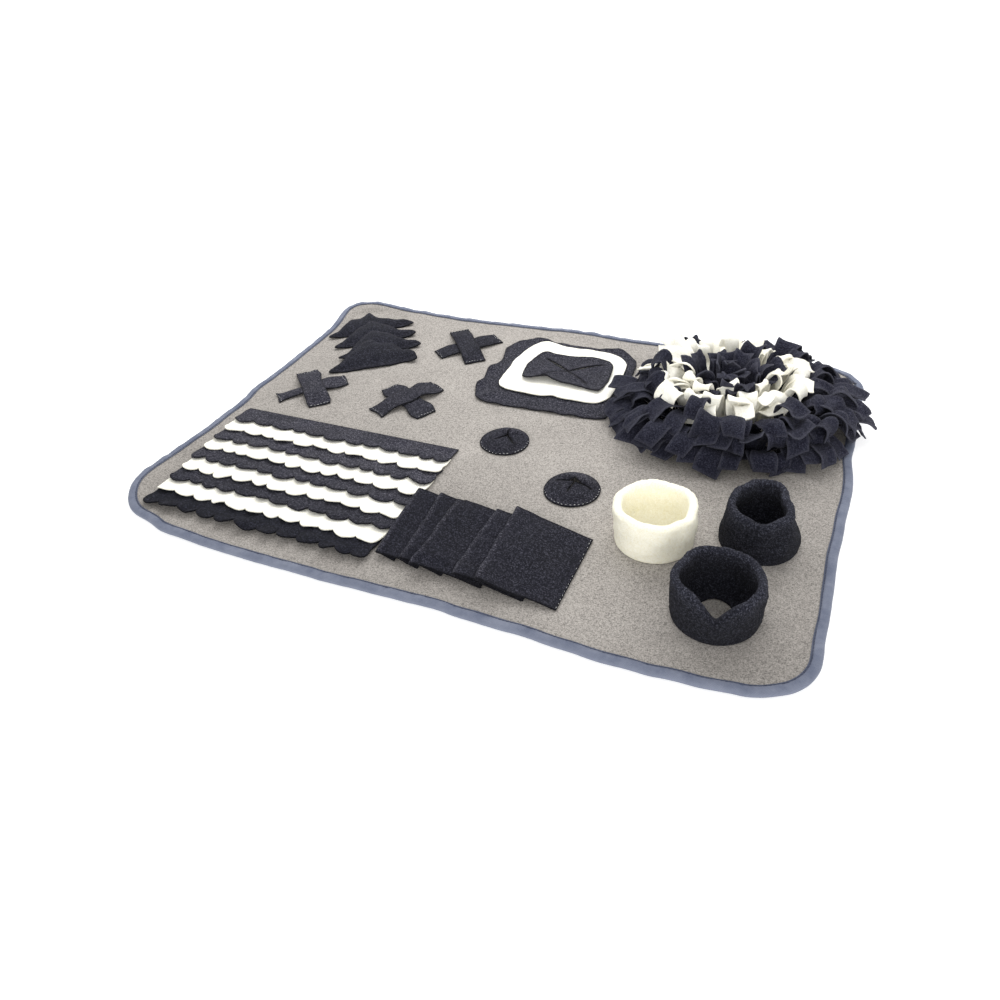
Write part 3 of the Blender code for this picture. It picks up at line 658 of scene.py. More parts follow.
def thick_sheet(points, faces, border, thickness):
    """Both faces and the rim of a sheet, its cut edge rounded."""
    count = len(points)
    nearness = 1.0 - np.clip(border / (0.5 * thickness), 0.0, 1.0)
    rounding = EDGE_ROUNDING + (1.0 - EDGE_ROUNDING) * np.sqrt(1.0 - nearness**2)
    offset = vertex_normals(points, faces) * (0.5 * thickness * rounding)[:, None]
    starts, ends = rim_edges(faces, count)
    rim = np.stack([ends, starts, starts + count, ends + count], axis=1)
    vertices = np.vstack([points + offset, points - offset])
    polygons = faces.tolist() + (faces[:, ::-1] + count).tolist() + rim.tolist()
    cut_edge = 1.0 - np.clip(np.concatenate([border, border]) / CUT_EDGE_WIDTH, 0.0, 1.0)
    return vertices, polygons, cut_edge


def make_piece(name, points, faces, border, thickness, material):
    """One piece of cloth as an object."""
    vertices, polygons, cut_edge = thick_sheet(points, faces, border, thickness)
    return plain_object(name, vertices, polygons, material, {"cut_edge": cut_edge})


# %% Sheets laid out in rows of points
def grid_faces(rows, columns, wrap=False):
    """Quads between rows of points; wrap joins the last column to the first."""
    index = np.arange(rows * columns).reshape(rows, columns)
    if wrap:
        index = np.hstack([index, index[:, :1]])
    corners = (index[:-1, :-1], index[1:, :-1], index[1:, 1:], index[:-1, 1:])
    return np.stack([c.ravel() for c in corners], axis=1)


def from_edges(grid, axis):
    """How far each point lies from the two ends of its row or column, along the cloth."""
    steps = np.linalg.norm(np.diff(grid, axis=axis), axis=2)
    first = np.zeros_like(np.take(steps, [0], axis=axis))
    travelled = np.cumsum(np.concatenate([first, steps], axis=axis), axis=axis)
    whole = np.take(travelled, [-1], axis=axis)
    return np.minimum(travelled, whole - travelled)


def make_grid_piece(name, grid, thickness, material, wrap=False):
    """A piece of cloth whose points are laid out in rows and columns."""
    border = from_edges(grid, 0)
    if not wrap:
        border = np.minimum(border, from_edges(grid, 1))
    faces = grid_faces(grid.shape[0], grid.shape[1], wrap)
    return make_piece(name, grid.reshape(-1, 3), faces, border.ravel(), thickness, material)


# %% Sheets cut to an outline
EDGE_SPACING = 1.8


def resample_loop(loop, spacing):
    """Points evenly spaced round a closed outline."""
    closed = np.vstack([loop, loop[:1]])
    travelled = distances_along(closed)
    count = max(8, round(travelled[-1] / spacing))
    return read_off(np.linspace(0.0, travelled[-1], count, endpoint=False), travelled, closed)


def inside_loop(points, loop):
    """Which points lie inside a closed outline."""
    x, y = points[:, :1], points[:, 1:]
    ax, ay = loop[:, 0], loop[:, 1]
    bx, by = np.roll(ax, -1), np.roll(ay, -1)
    spans = (ay > y) != (by > y)
    rise = np.where(by == ay, 1.0, by - ay)
    crossing = ax + (y - ay) / rise * (bx - ax)
    return np.sum(spans & (x < crossing), axis=1) % 2 == 1


def from_loop(points, loop):
    """The distance from each point to a closed outline, and the nearest side's number."""
    ends = np.roll(loop, -1, axis=0) - loop
    squared = np.maximum(np.sum(ends**2, axis=1), 1e-12)
    distances = []
    nearest = []
    for chunk in np.array_split(points, max(1, len(points) // 2000)):
        away = chunk[:, None, :] - loop[None, :, :]
        share = np.clip(np.sum(away * ends, axis=2) / squared, 0.0, 1.0)
        gap = np.linalg.norm(away - share[:, :, None] * ends, axis=2)
        nearest.append(np.argmin(gap, axis=1))
        distances.append(np.min(gap, axis=1))
    return np.concatenate(distances), np.concatenate(nearest)


def paint_light(piece, values):
    """Paint light and shade on a piece: lighter above 0, darker below; both faces of a sheet alike."""
    flat = np.ravel(values)
    write_attribute(piece.data, "brushed", np.tile(flat, len(piece.data.vertices) // len(flat)))


def cut_shape(outline, spacing, slits=()):
    """Cut an outline with slits: points, triangles and each point's distance from a cut edge."""
    loops = [resample_loop(outline, EDGE_SPACING)]
    loops.extend(np.asarray(slit) for slit in slits)
    low, high = loops[0].min(axis=0), loops[0].max(axis=0)
    row_step = spacing * math.sqrt(0.75)
    xs = np.arange(low[0], high[0] + spacing, spacing)
    ys = np.arange(low[1], high[1] + row_step, row_step)
    field = np.array([(x + (row % 2) * spacing / 2.0, y) for row, y in enumerate(ys) for x in xs])

    def clear(points, least):
        points = points[inside_loop(points, loops[0])]
        for loop in loops:
            points = points[from_loop(points, loop)[0] > least]
        return points

    kept = [clear(field, 0.75 * spacing)]
    for loop in loops:
        sides = np.roll(loop, -1, axis=0) - np.roll(loop, 1, axis=0)
        across = np.stack([-sides[:, 1], sides[:, 0]], axis=1)
        across /= np.maximum(np.linalg.norm(across, axis=1, keepdims=True), 1e-9)
        for inset in EDGE_STATIONS[1:]:
            for way in (-1.0, 1.0):
                kept.append(clear(loop + way * across * inset, 0.9 * inset))
    edges = []
    first = 0
    for loop in loops:
        count = len(loop)
        edges.extend((first + i, first + (i + 1) % count) for i in range(count))
        first += count
    places = [Vector(p) for p in np.vstack(loops + kept)]
    made = delaunay_2d_cdt(places, edges, [], 0, 1e-4)
    points = np.array([(p.x, p.y) for p in made[0]])
    faces = np.array(made[2])
    middles = points[faces].mean(axis=1)
    wanted = inside_loop(middles, loops[0])
    for slit in loops[1:]:
        wanted &= ~inside_loop(middles, slit)
    faces = faces[wanted]
    used, faces = np.unique(faces, return_inverse=True)
    points = points[used]
    border = np.min([from_loop(points, loop)[0] for loop in loops], axis=0)
    return points, faces.reshape(-1, 3), border


# %% Attach a piece to the mat
def settle(piece, node):
    """Tell the frame that a piece rides with the mat, and hide the node it stands for."""
    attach(piece, "root")
    if node:
        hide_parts(node)
    return piece


# %% [markdown]
# ## The mat
#
# The mat is one thick rectangle of fleece with round corners. It lies flat, but its rim rides up on the
# tape that is folded under it, and some stretches of the rim are lifted a little more, or pushed in or
# out, because nothing made of cloth has straight sides. A table of such places is all it needs. Soft
# creases run out from where the cups are sewn on and pull at the cloth.

# %% The mat's outline
CORNERS = table(
    "side_x side_y radius start_degrees",
    (1, -1, 50.0, -90.0),
    (1, 1, 48.0, 0.0),
    (-1, 1, 45.0, 90.0),
    (-1, -1, 76.0, 180.0),
)
EDGE_FOLDS = table(
    "x y reach out lift",
    (-330.0, -165.0, 55.0, 2.5, 1.5),
    (-325.0, -185.0, 30.0, 3.6, 0.0),
    (-325.0, -45.0, 50.0, -2.0, 0.0),
    (-325.0, 5.0, 20.0, 2.5, 0.0),
    (-323.0, 215.0, 36.0, 3.2, 4.2),
    (-322.0, 240.0, 50.0, 2.0, 4.0),
    (-165.0, 250.0, 65.0, -4.2, 0.0),
    (-10.0, 250.0, 40.0, 2.0, 1.0),
    (325.0, 10.0, 50.0, 3.2, 2.0),
    (325.0, 80.0, 30.0, -1.5, 0.0),
    (325.0, -150.0, 60.0, 1.0, 0.0),
    (297.0, -244.0, 18.0, -2.2, 0.0),
    (192.0, -250.0, 60.0, 4.6, 0.0),
    (20.0, -250.0, 40.0, -2.0, 0.0),
    (-235.0, -250.0, 45.0, -3.0, 0.5),
    (-276.0, -247.0, 27.0, -8.0, 0.0),
)
Outline = namedtuple("Outline", "place out lift")


def mat_outline(spacing):
    """Places round the mat, evenly spaced, with the outward direction and the lift at each."""
    places = []
    outward = []
    for corner in CORNERS:
        reach = np.array([MAT_LENGTH / 2 - corner.radius, MAT_WIDTH / 2 - corner.radius])
        turns = corner.start_degrees + np.linspace(0.0, 90.0, 60)
        places.append(reach * (corner.side_x, corner.side_y) + corner.radius * pointing(turns))
        outward.append(pointing(turns))
    places = np.vstack(places)
    closed = np.vstack([places, places[:1]])
    outward = np.vstack([*outward, pointing(CORNERS[0].start_degrees)[None, :]])
    travelled = distances_along(closed)
    spots = np.linspace(0.0, travelled[-1], round(travelled[-1] / spacing), endpoint=False)
    place = read_off(spots, travelled, closed)
    out = read_off(spots, travelled, outward)
    out /= np.linalg.norm(out, axis=1, keepdims=True)
    push = np.zeros(len(place))
    lift = np.zeros(len(place))
    for fold in EDGE_FOLDS:
        weight = bump(np.linalg.norm(place - (fold.x, fold.y), axis=1), fold.reach)
        push += fold.out * weight
        lift += fold.lift * weight
    push += 0.5 * uneven(place[:, 0], place[:, 1], 45.0, 11)
    return Outline(place + out * push[:, None], out, lift)


# %% The mat's fleece
TAPE_LIFT = 1.3
MAT_EDGE = 1.8
RAMP_START = 10.0
RAMP_END = 21.0
MAT_SPACING = 4.6
MAT_CREASES = table(
    CREASE,
    (297.0, -121.0, -14.0, 30.0, 6.0, 3.6),
    (293.0, -147.0, -22.0, 26.0, 6.0, 3.4),
    (299.0, -190.0, -43.0, 30.0, 6.0, 3.8),
    (297.0, 14.0, -27.0, 34.0, 8.0, 3.2),
    (200.0, -226.0, 10.0, 34.0, 7.0, 1.2),
    (150.0, -188.0, 60.0, 26.0, 6.0, 1.0),
    (60.0, 12.0, 25.0, 40.0, 9.0, 0.9),
    (40.0, -60.0, -30.0, 40.0, 9.0, 0.8),
    (-200.0, 60.0, 70.0, 30.0, 8.0, 0.8),
    (-95.0, 232.0, 0.0, 40.0, 7.0, 1.0),
    (70.0, 236.0, 5.0, 30.0, 7.0, 0.9),
)


def crease_height(x, y, creases):
    """Soft ridges laid on a cloth, each with a place, a turn, a length and a width."""
    height = 0.0
    for crease in creases:
        forward, aside = seen_from((crease.x, crease.y), crease.turn, x, y)
        height = height + crease.height * bump(forward, crease.length) * bump(aside, crease.width)
    return height


# Painted light and shade on the mat: lighter over its middle and right, darker along its near rim and at
# its near left.
MAT_PAINTED_LIGHT = table(
    SPOT,
    (200.0, -105.0, 75.0, 1.0),
    (95.0, -35.0, 80.0, 0.55),
    (140.0, -215.0, 40.0, 0.5),
    (-60.0, 130.0, 150.0, 0.50),
    (315.0, 20.0, 50.0, 0.4),
    (305.0, -195.0, 45.0, -0.45),
    (225.0, -240.0, 60.0, -0.25),
    (60.0, -236.0, 70.0, -0.35),
    (-60.0, -238.0, 70.0, -0.35),
    (-285.0, -150.0, 60.0, -0.45),
    (-42.0, -38.0, 32.0, 0.6),
    (215.0, -97.0, 34.0, 0.45),
)
MAT_PAINTED_LIGHT_EVEN = 0.10


def make_mat():
    """The mat: flat underneath, raised round its rim, gently creased on top."""
    edge = mat_outline(EDGE_SPACING)
    loop = edge.place - edge.out * MAT_EDGE
    flat, faces, border = cut_shape(loop, MAT_SPACING)
    x, y = flat.T
    nearest = from_loop(flat, loop)[1]
    inward = border + MAT_EDGE
    rim = soft_step((RAMP_END - inward) / (RAMP_END - RAMP_START))
    lift = (TAPE_LIFT + edge.lift[nearest]) * rim
    inner = soft_step((inward - RAMP_END) / RAMP_END)
    wrinkles = crease_height(x, y, MAT_CREASES) * inner
    points = np.column_stack([flat, MAT_THICKNESS / 2 + lift + wrinkles])
    mat = make_piece("mat_fleece", points, faces, border, MAT_THICKNESS, taupe_fleece)
    # A little uneven painted light all over, then the painted light and shade of the table.
    even = MAT_PAINTED_LIGHT_EVEN * (1.0 + uneven(x, y, 60.0, 28))
    paint_light(mat, spots_on(x, y, MAT_PAINTED_LIGHT, even))
    print("mat:", len(points), "points")
    return settle(mat, "mat_base")


mat_fleece = make_mat()

# %% [markdown]
# ## The bias binding
#
# The binding is one long strip of tape, folded over the mat's cut edge and sewn through all the layers
# with one line of stitches. The section is drawn once, from the top lip, round the outside, to the
# bottom lip, and is then carried round the outline. The tape is tight at every stitch and a little
# fuller between, and it rounds over at its outer fold, which gets a painted highlight. A painted shade
# lies along the groove of the stitches.

# %% The binding's tape
BINDING_TAPE = 0.9
BINDING_STEP = 1.25
STITCH_PITCH = 3.3
STITCH_INSET = 8.0
# The last column of the section is a painted highlight, strongest round the outer fold.
BINDING_SECTION = table(
    "inset height full worn",
    (9.3, 4.85, 0.10, 0.0),
    (8.9, 4.85, 0.10, 0.0),
    (8.4, 4.80, 0.05, 0.0),
    (8.0, 4.76, 0.0, 0.0),
    (7.5, 4.86, 0.3, 0.0),
    (6.9, 5.05, 0.6, 0.0),
    (6.0, 5.20, 0.9, 0.0),
    (4.2, 5.25, 1.0, 0.1),
    (2.6, 5.05, 0.9, 0.3),
    (1.4, 4.55, 0.7, 0.7),
    (0.65, 3.75, 0.5, 1.0),
    (0.45, 2.85, 0.3, 1.0),
    (0.65, 1.95, 0.2, 0.6),
    (1.5, 1.05, 0.0, 0.3),
    (3.2, 0.60, 0.0, 0.0),
    (6.0, 0.50, 0.0, 0.0),
    (10.0, 0.50, 0.0, 0.0),
)
TOP_HALF = 2.5
LIP_START = 7.0
LIP_WIDTH = 3.0
PUCKER = 0.16
FULLNESS = 0.55
SMALL_FULLNESS = 0.25


def seam_sway(travelled):
    """How far the tape's inner lip wanders in and out."""
    return 0.45 * uneven(travelled, 0.0, 60.0, 5)


def make_binding():
    """The tape, carried round the mat with its puckers and its fuller and flatter stretches."""
    edge = mat_outline(BINDING_STEP)
    count = len(edge.place)
    travelled = np.arange(count) * BINDING_STEP
    pucker = PUCKER * np.cos(2.0 * math.pi * travelled / STITCH_PITCH)
    fuller = FULLNESS * uneven(travelled, 0.0, 24.0, 3) + SMALL_FULLNESS * uneven(travelled, 0.0, 8.0, 4)
    sway = seam_sway(travelled)
    rows = []
    worn = []
    groove_shade = []
    for spot in BINDING_SECTION:
        on_top = spot.height > TOP_HALF
        lip = np.clip((spot.inset - LIP_START) / LIP_WIDTH, 0.0, 1.0) if on_top else 0.0
        # A painted shade in the groove along the stitches, on the top half only.
        groove_shade.append(bump(spot.inset - STITCH_INSET - 0.4, 0.9) if on_top else 0.0)
        inset = spot.inset + sway * lip - 0.35 * spot.full * uneven(travelled, 0.0, 16.0, 6)
        height = spot.height + edge.lift + spot.full * (fuller + pucker * 1.2)
        place = edge.place - edge.out * inset[:, None]
        rows.append(np.column_stack([place, np.maximum(height, BINDING_TAPE / 2)]))
        worn.append(np.full(count, spot.worn))
    grid = np.array(rows)
    faces = grid_faces(len(rows), count, wrap=True)
    border = from_edges(grid, 0).ravel()
    vertices, polygons, cut_edge = thick_sheet(grid.reshape(-1, 3), faces, border, BINDING_TAPE)
    # Painted light on the tape: a painted highlight round its outer fold and a painted shade at its seam.
    extras = {
        "cut_edge": cut_edge,
        "worn": np.tile(np.concatenate(worn), 2),
        "seam": np.tile(np.repeat(groove_shade, count), 2),
    }
    tape = plain_object("edge_binding_tape", vertices, polygons, blue_grey_tape, extras)
    print("binding:", count, "stations,", round(count * BINDING_STEP), "mm round")
    return settle(tape, "edge_binding")


binding_tape = make_binding()

# %% [markdown]
# ## Stitches, by Geometry Nodes
#
# A line of stitches repeats one small shape along a path, which is what Geometry Nodes are for. The
# tree takes a mesh line, makes it a curve, steps along it by the pitch, and puts a tiny thread capsule
# at each step, lying along the line. Each stitch is moved and turned a little, with a fixed seed. The
# tree ends by realizing the instances and setting their material, and the result is kept as a plain
# mesh. A `Sewing` holds the numbers of one kind of seam.

# %% The stitch tree
STITCH_SEGMENTS = 6
STITCH_RINGS = 5
STITCH_INPUTS = (
    ("Line", "Geometry", None),
    ("Pitch", "Float", STITCH_PITCH * MM),
    ("Stitch Length", "Float", 2.6 * MM),
    ("Thread Radius", "Float", 0.35 * MM),
    ("Wander", "Float", 0.15 * MM),
    ("Turn", "Float", 0.12),
    ("Seed", "Int", 1),
    ("Thread", "Material", None),
)


def jitter(tree, amount, seed):
    """A random number for each point, between minus and plus an amount."""
    less = calculate(tree, "MULTIPLY", amount, -1.0)
    return flow(tree, "FunctionNodeRandomValue", {2: less, 3: amount, "Seed": seed}, 1, data_type="FLOAT")


def make_stitch_tree():
    """Thread capsules along a line."""
    name = "stitches along a line"
    tree, given, outgoing = new_tree(name, "Geometry", STITCH_INPUTS, [("Stitches", "Geometry")])
    curve = flow(tree, "GeometryNodeMeshToCurve", {"Mesh": given["Line"]})
    stepped = {"Curve": curve, "Length": given["Pitch"]}
    steps = add_node(tree, "GeometryNodeCurveToPoints", stepped, mode="LENGTH").outputs
    aligned = flow(tree, "FunctionNodeAlignRotationToVector", {"Vector": steps["Tangent"]}, axis="X")
    less = calculate(tree, "MULTIPLY", given["Wander"], -1.0)
    limits = {"Min": less, "Max": given["Wander"], "Seed": given["Seed"]}
    wander = flow(tree, "FunctionNodeRandomValue", limits, "Value", data_type="FLOAT_VECTOR")
    moved = flow(tree, "GeometryNodeSetPosition", {"Geometry": steps["Points"], "Offset": wander})
    ball = {"Segments": STITCH_SEGMENTS, "Rings": STITCH_RINGS, "Radius": 1.0}
    capsule = flow(tree, "GeometryNodeMeshUVSphere", ball, "Mesh")
    lying = {"Geometry": capsule, "Rotation": (0.0, math.pi / 2.0, 0.0)}
    radius = given["Thread Radius"]
    half = calculate(tree, "MULTIPLY", given["Stitch Length"], 0.5)
    size = flow(tree, "ShaderNodeCombineXYZ", {"X": half, "Y": radius, "Z": radius})
    shaped = {"Geometry": flow(tree, "GeometryNodeTransform", lying), "Scale": size}
    about_up = flow(tree, "ShaderNodeCombineXYZ", {"Z": jitter(tree, given["Turn"], given["Seed"])})
    turning = {"Rotation": aligned, "Rotate By": about_up}
    placed = {
        "Points": moved,
        "Instance": flow(tree, "GeometryNodeTransform", shaped),
        "Rotation": flow(tree, "FunctionNodeRotateRotation", turning, rotation_space="GLOBAL"),
    }
    copies = flow(tree, "GeometryNodeInstanceOnPoints", placed)
    real = flow(tree, "GeometryNodeRealizeInstances", {"Geometry": copies})
    smooth = flow(tree, "GeometryNodeSetShadeSmooth", {"Geometry": real})
    finished = flow(tree, "GeometryNodeSetMaterial", {"Geometry": smooth, "Material": given["Thread"]})
    tree.links.new(finished, outgoing.inputs["Stitches"])
    return tree


STITCHES = make_stitch_tree()
print("stitch tree:", len(STITCHES.nodes), "nodes")


# %% Run a geometry tree and keep its result
def grow(name, carrier, tree, values):
    """Run a tree on a carrier object, keep the result as a plain mesh and drop the carrier."""
    run = carrier.modifiers.new("grow", "NODES")
    run.node_group = tree
    for item in tree.interface.items_tree:
        if item.in_out == "INPUT" and item.name in values:
            run[item.identifier] = values[item.name]
    bpy.context.view_layer.update()
    seen = carrier.evaluated_get(bpy.context.evaluated_depsgraph_get())
    mesh = bpy.data.meshes.new_from_object(seen)
    mesh.name = name
    bpy.data.objects.remove(carrier, do_unlink=True)
    return place_object(name, mesh)


Sewing = namedtuple("Sewing", "thread slot pitch length radius wander turn")


def sew(name, lines, way, seed):
    """Stitches along one or more open or closed lines of points, given in millimetres."""
    vertices = []
    edges = []
    for line, closed in lines:
        first = len(vertices)
        vertices.extend((np.asarray(line) * MM).tolist())
        count = len(line)
        edges.extend((first + i, first + (i + 1) % count) for i in range(count if closed else count - 1))
    mesh = bpy.data.meshes.new(name + "_line")
    mesh.from_pydata(vertices, edges, [])
    values = {
        "Pitch": way.pitch * MM,
        "Stitch Length": way.length * MM,
        "Thread Radius": way.radius * MM,
        "Wander": way.wander * MM,
        "Turn": way.turn,
        "Seed": seed,
        "Thread": way.thread,
    }
    made = grow(name, place_object(name + "_line", mesh), STITCHES, values)
    print(name, len(made.data.polygons), "faces")
    return settle(made, None)


# %% Sew the binding
BINDING_SEWING = Sewing(navy_thread, "blue_grey_tape", STITCH_PITCH, 3.0, 0.40, 0.15, 0.12)


def sew_binding():
    """One navy line, just inside the tape's inner edge, pulled into the cloth."""
    edge = mat_outline(BINDING_STEP)
    travelled = np.arange(len(edge.place)) * BINDING_STEP
    inset = STITCH_INSET + seam_sway(travelled) * 0.33
    place = edge.place - edge.out * inset[:, None]
    line = np.column_stack([place, 5.30 + edge.lift])
    return sew("binding_stitches", [(line, True)], BINDING_SEWING, 2)


binding_stitches = sew_binding()

# %% [markdown]
# ## The scalloped rows
#
# Nine strips of fleece are sewn down along their far edge, one below the other, so that each laps the
# next. Their near edges are cut in shallow scallops by hand, and no two are alike. Each row is a grid:
# the columns run along the row, closer together at the points between scallops, and the free edge is
# lifted and rippled a little, because that is what throws the thin shadows between the rows.

# %% The rows
ROW_COUNT = 9
ROW_PITCH = 18.6
ROW_DEPTH = 31.5
ROW_FIRST_Y = -37.5
ROW_LEFT_X = -298.0
ROW_RIGHT_FAR = (-42.0, -112.0)
ROW_RIGHT_NEAR = (-46.0, -186.5)
ROW_CLEARANCE = 0.4
ROW_SLOPE = (FLEECE + ROW_CLEARANCE) / ROW_PITCH
SCALLOPS_PER_ROW = 12
SCALLOP_DROP = 8.4
SCALLOP_UNEVEN = 0.30
DROP_UNEVEN = 0.16
DEEPEST_NOTCH = 3.4
LOBE_ROUNDNESS = 0.55
END_LOBE = 0.42
ROW_LEFT_SHIFTS = (-3.5, -3.0, -2.0, -0.5, -1.5, 2.0, 2.5, 3.0, 4.5)
COLUMNS_PER_SCALLOP = 16
ROW_SPACING = 2.6
LAST_ROW_LONGER = 3.0
ROW_RAGGED = (0.8, 0.6)
LOOSE_ROWS = 3
ROW_LOOSENESS = (0.6, 1.3)
ROW_LIFT = 0.55
ROW_FREE_EARLY = 5.0
ROW_FREE_REACH = 16.0
# Painted light for each row: the far dark rows lighter, the nearest one darker; cream rows barely change.
ROW_PAINTED_LIGHT = (1.6, 0.0, 2.0, 0.0, 1.35, 0.0, 0.75, 0.0, -0.3)


def row_depth(index):
    """How deep a row's strip is cut; the last one is a little deeper."""
    return ROW_DEPTH + (LAST_ROW_LONGER if index == ROW_COUNT - 1 else 0.0)


def row_right_x(y):
    """The right end of a row sewn at y."""
    (far_x, far_y), (near_x, near_y) = ROW_RIGHT_FAR, ROW_RIGHT_NEAR
    share = min(max((y - far_y) / (near_y - far_y), 0.0), 1.0)
    return far_x + (near_x - far_x) * share


def lobe(share, first, last):
    """One scallop's reach, 0 to 1: a round lobe between two cusps, or rounded into a row's end."""
    arc = np.sin(math.pi * share) ** LOBE_ROUNDNESS
    if first:
        round_end = np.sqrt(1.0 - (1.0 - np.clip(share / END_LOBE, 0.0, 1.0)) ** 2)
        beyond = np.clip((share - END_LOBE) / (1.0 - END_LOBE), 0.0, 1.0)
        fall = np.cos(0.5 * math.pi * beyond) ** LOBE_ROUNDNESS
        arc = np.where(share < END_LOBE, round_end, fall)
    if last:
        arc = lobe(1.0 - share, True, False)
    return arc


def scallop_columns(length, dice):
    """Places along a row, and how far the free edge reaches at each, as uneven round lobes."""
    widths = 1.0 + dice.uniform(-SCALLOP_UNEVEN, SCALLOP_UNEVEN, SCALLOPS_PER_ROW)
    ends = np.concatenate([[0.0], np.cumsum(widths)]) / widths.sum()
    varied = 1.0 + dice.uniform(-DROP_UNEVEN, DROP_UNEVEN, SCALLOPS_PER_ROW)
    drops = SCALLOP_DROP * (0.62 + 0.38 * widths) * varied
    notches = dice.uniform(0.0, DEEPEST_NOTCH, SCALLOPS_PER_ROW + 1)
    notches[0] = 1.0
    notches[-1] = -1.0
    even = np.linspace(0.0, 1.0, COLUMNS_PER_SCALLOP + 1)[:-1]
    share = 0.5 * (1.0 - np.cos(math.pi * even)) / 2.0 + 0.5 * even
    places = []
    reach = []
    middle = []
    for i in range(SCALLOPS_PER_ROW):
        places.append(ends[i] + (ends[i + 1] - ends[i]) * share)
        notch = notches[i] + (notches[i + 1] - notches[i]) * share
        lean = dice.uniform(-0.15, 0.15)
        bent = np.clip(share + lean * share * (1.0 - share) * 4.0, 0.0, 1.0)
        arc = lobe(bent, i == 0, i == SCALLOPS_PER_ROW - 1)
        reach.append(notch + (drops[i] - notch) * arc)
        middle.append(arc * dice.uniform(0.4, 1.5))
    places.append(np.array([1.0]))
    reach.append(np.array([notches[-1]]))
    middle.append(np.array([0.0]))
    places, reach, middle = [np.concatenate(values) for values in (places, reach, middle)]
    near_end = np.array(EDGE_STATIONS[1:]) / length
    extra = np.concatenate([near_end, 1.0 - near_end])
    every = np.sort(np.concatenate([places, extra]))
    return every, np.interp(every, places, reach), np.interp(every, places, middle)


def make_row(index):
    """One row: sewn along its far edge, scalloped and free along its near edge."""
    dice = np.random.default_rng(40 + index)
    sewn_y = ROW_FIRST_Y - ROW_PITCH * index
    right_x = row_right_x(sewn_y)
    left_x = ROW_LEFT_X + ROW_LEFT_SHIFTS[index]
    shares, reach, middle = scallop_columns(right_x - left_x, dice)
    depth = stations(row_depth(index), ROW_SPACING) / row_depth(index)
    free_y = sewn_y - row_depth(index) + SCALLOP_DROP
    ragged_left = ROW_RAGGED[0] * uneven(depth * 30.0, 0.0, 20.0, 60 + index)
    ragged_right = ROW_RAGGED[1] * uneven(depth * 30.0, 0.0, 18.0, 80 + index)
    u, v = np.meshgrid(shares, depth)
    x = left_x + (right_x - left_x) * u
    x = x + ragged_left[:, None] * bump(u, 0.03) + ragged_right[:, None] * bump(1.0 - u, 0.03)
    near_y = free_y - reach[None, :] + 0.5 * uneven(x, 0.0, 70.0, 90 + index)
    y = sewn_y + (near_y - sewn_y) * v
    down = sewn_y - y
    free = soft_step((down - ROW_PITCH + ROW_FREE_EARLY) / ROW_FREE_REACH)
    loose = ROW_LOOSENESS[index >= ROW_COUNT - LOOSE_ROWS]
    lift = ROW_LIFT + 0.8 * middle[None, :] + loose * uneven(x, y, 38.0, 100 + index)
    curl = 0.7 * loose * soft_step((v - 0.80) / 0.20) * uneven(x, 0.0, 15.0, 120 + index)
    z = SEWN + FLEECE / 2 + ROW_SLOPE * down + free * np.maximum(lift, 0.05) + curl
    z = z + 0.10 * uneven(x, y, 9.0, 140 + index) * soft_step(down / 10.0) * free
    cloth = ("charcoal_fleece", "cream_fleece")[index % 2]
    name = f"scallop_row_{index + 1}"
    row = make_grid_piece(name + "_cloth", np.dstack([x, y, z]), FLEECE, PLAIN_CLOTH[cloth])
    # Painted light on the row, a little uneven along it.
    paint_light(row, ROW_PAINTED_LIGHT[index] * (1.0 + 0.15 * uneven(x, y, 40.0, 150 + index)))
    return settle(row, name)


rows = [make_row(index) for index in range(ROW_COUNT)]
print("rows:", len(rows), "each with", len(rows[0].data.polygons), "faces")

# %% [markdown]
# ## The leaf flaps
#
# Four tiers of dark fleece, each a wide bell with two pointed ends, lie one over the other like roof
# tiles. Each is sewn along its straight front edge, and its pointed back is free. They are cut to an
# outline, and then given a height: a gentle slope over the tier behind, a soft ridge along the middle
# where the cloth is full, and tips that curl up.

# %% The leaf flaps
LEAF_SLOPE = 0.072
LEAF_TIERS = table(
    "x y turn half_span depth left_tip right_tip back front",
    (
        -267.0, 175.5, 40.0, 56.0, 46.0, 2.5, 2.0,
        (
            (-60, -2), (-43, 11), (-32, 24), (-23, 36), (-11, 34), (-3, 38), (4, 44),
            (10, 31), (20, 25), (30, 20), (43, 15), (50, 7), (56, -2),
        ),
        ((42, -4), (15, -2.5), (-15, -3), (-40, -4)),
    ),
    (
        -248.0, 151.5, 40.0, 53.0, 50.0, 2.0, 3.0,
        (
            (-56, -2), (-40, 11), (-27, 27), (-14, 40), (-3, 47), (10, 44),
            (22, 33), (30, 20), (40, 13), (48, 7), (53, -2),
        ),
        ((43, -6), (25, -3), (-5, -4), (-35, -5)),
    ),
    (
        -228.5, 127.0, 40.0, 53.0, 50.0, 3.0, 3.0,
        (
            (-55, -3), (-39, 8), (-24, 28), (-14, 42), (-5, 49), (11, 47),
            (22, 37), (29, 23), (37, 15), (47, 8), (53, -3),
        ),
        ((45, -7), (27, -3), (0, -4), (-30, -5)),
    ),
    (
        -217.0, 95.0, 36.0, 54.0, 56.0, 1.0, 4.5,
        (
            (-59, -3), (-43, 12), (-35, 21), (-28, 32), (-17, 47), (-6, 56), (5, 54), (15, 51),
            (25, 46), (32, 35), (37, 24), (43, 22), (49, 12), (52, 0), (50, -8),
        ),
        ((41, -6), (33, -3), (21, -7), (0, -7), (-20, -6), (-39, -6)),
    ),
)
LEAF_TIP_START = 0.6
LEAF_CREST = 1.6
LEAF_CREST_REACH = 0.35
LEAF_SPACING = 2.3
LEAF_DOME = 3.4
LEAF_RIDGE = 1.1
LEAF_EDGE_WAVE = 0.8
LEAF_LIT_REACH = (7.0, 26.0)
LEAF_CORNER_CUTS = 2


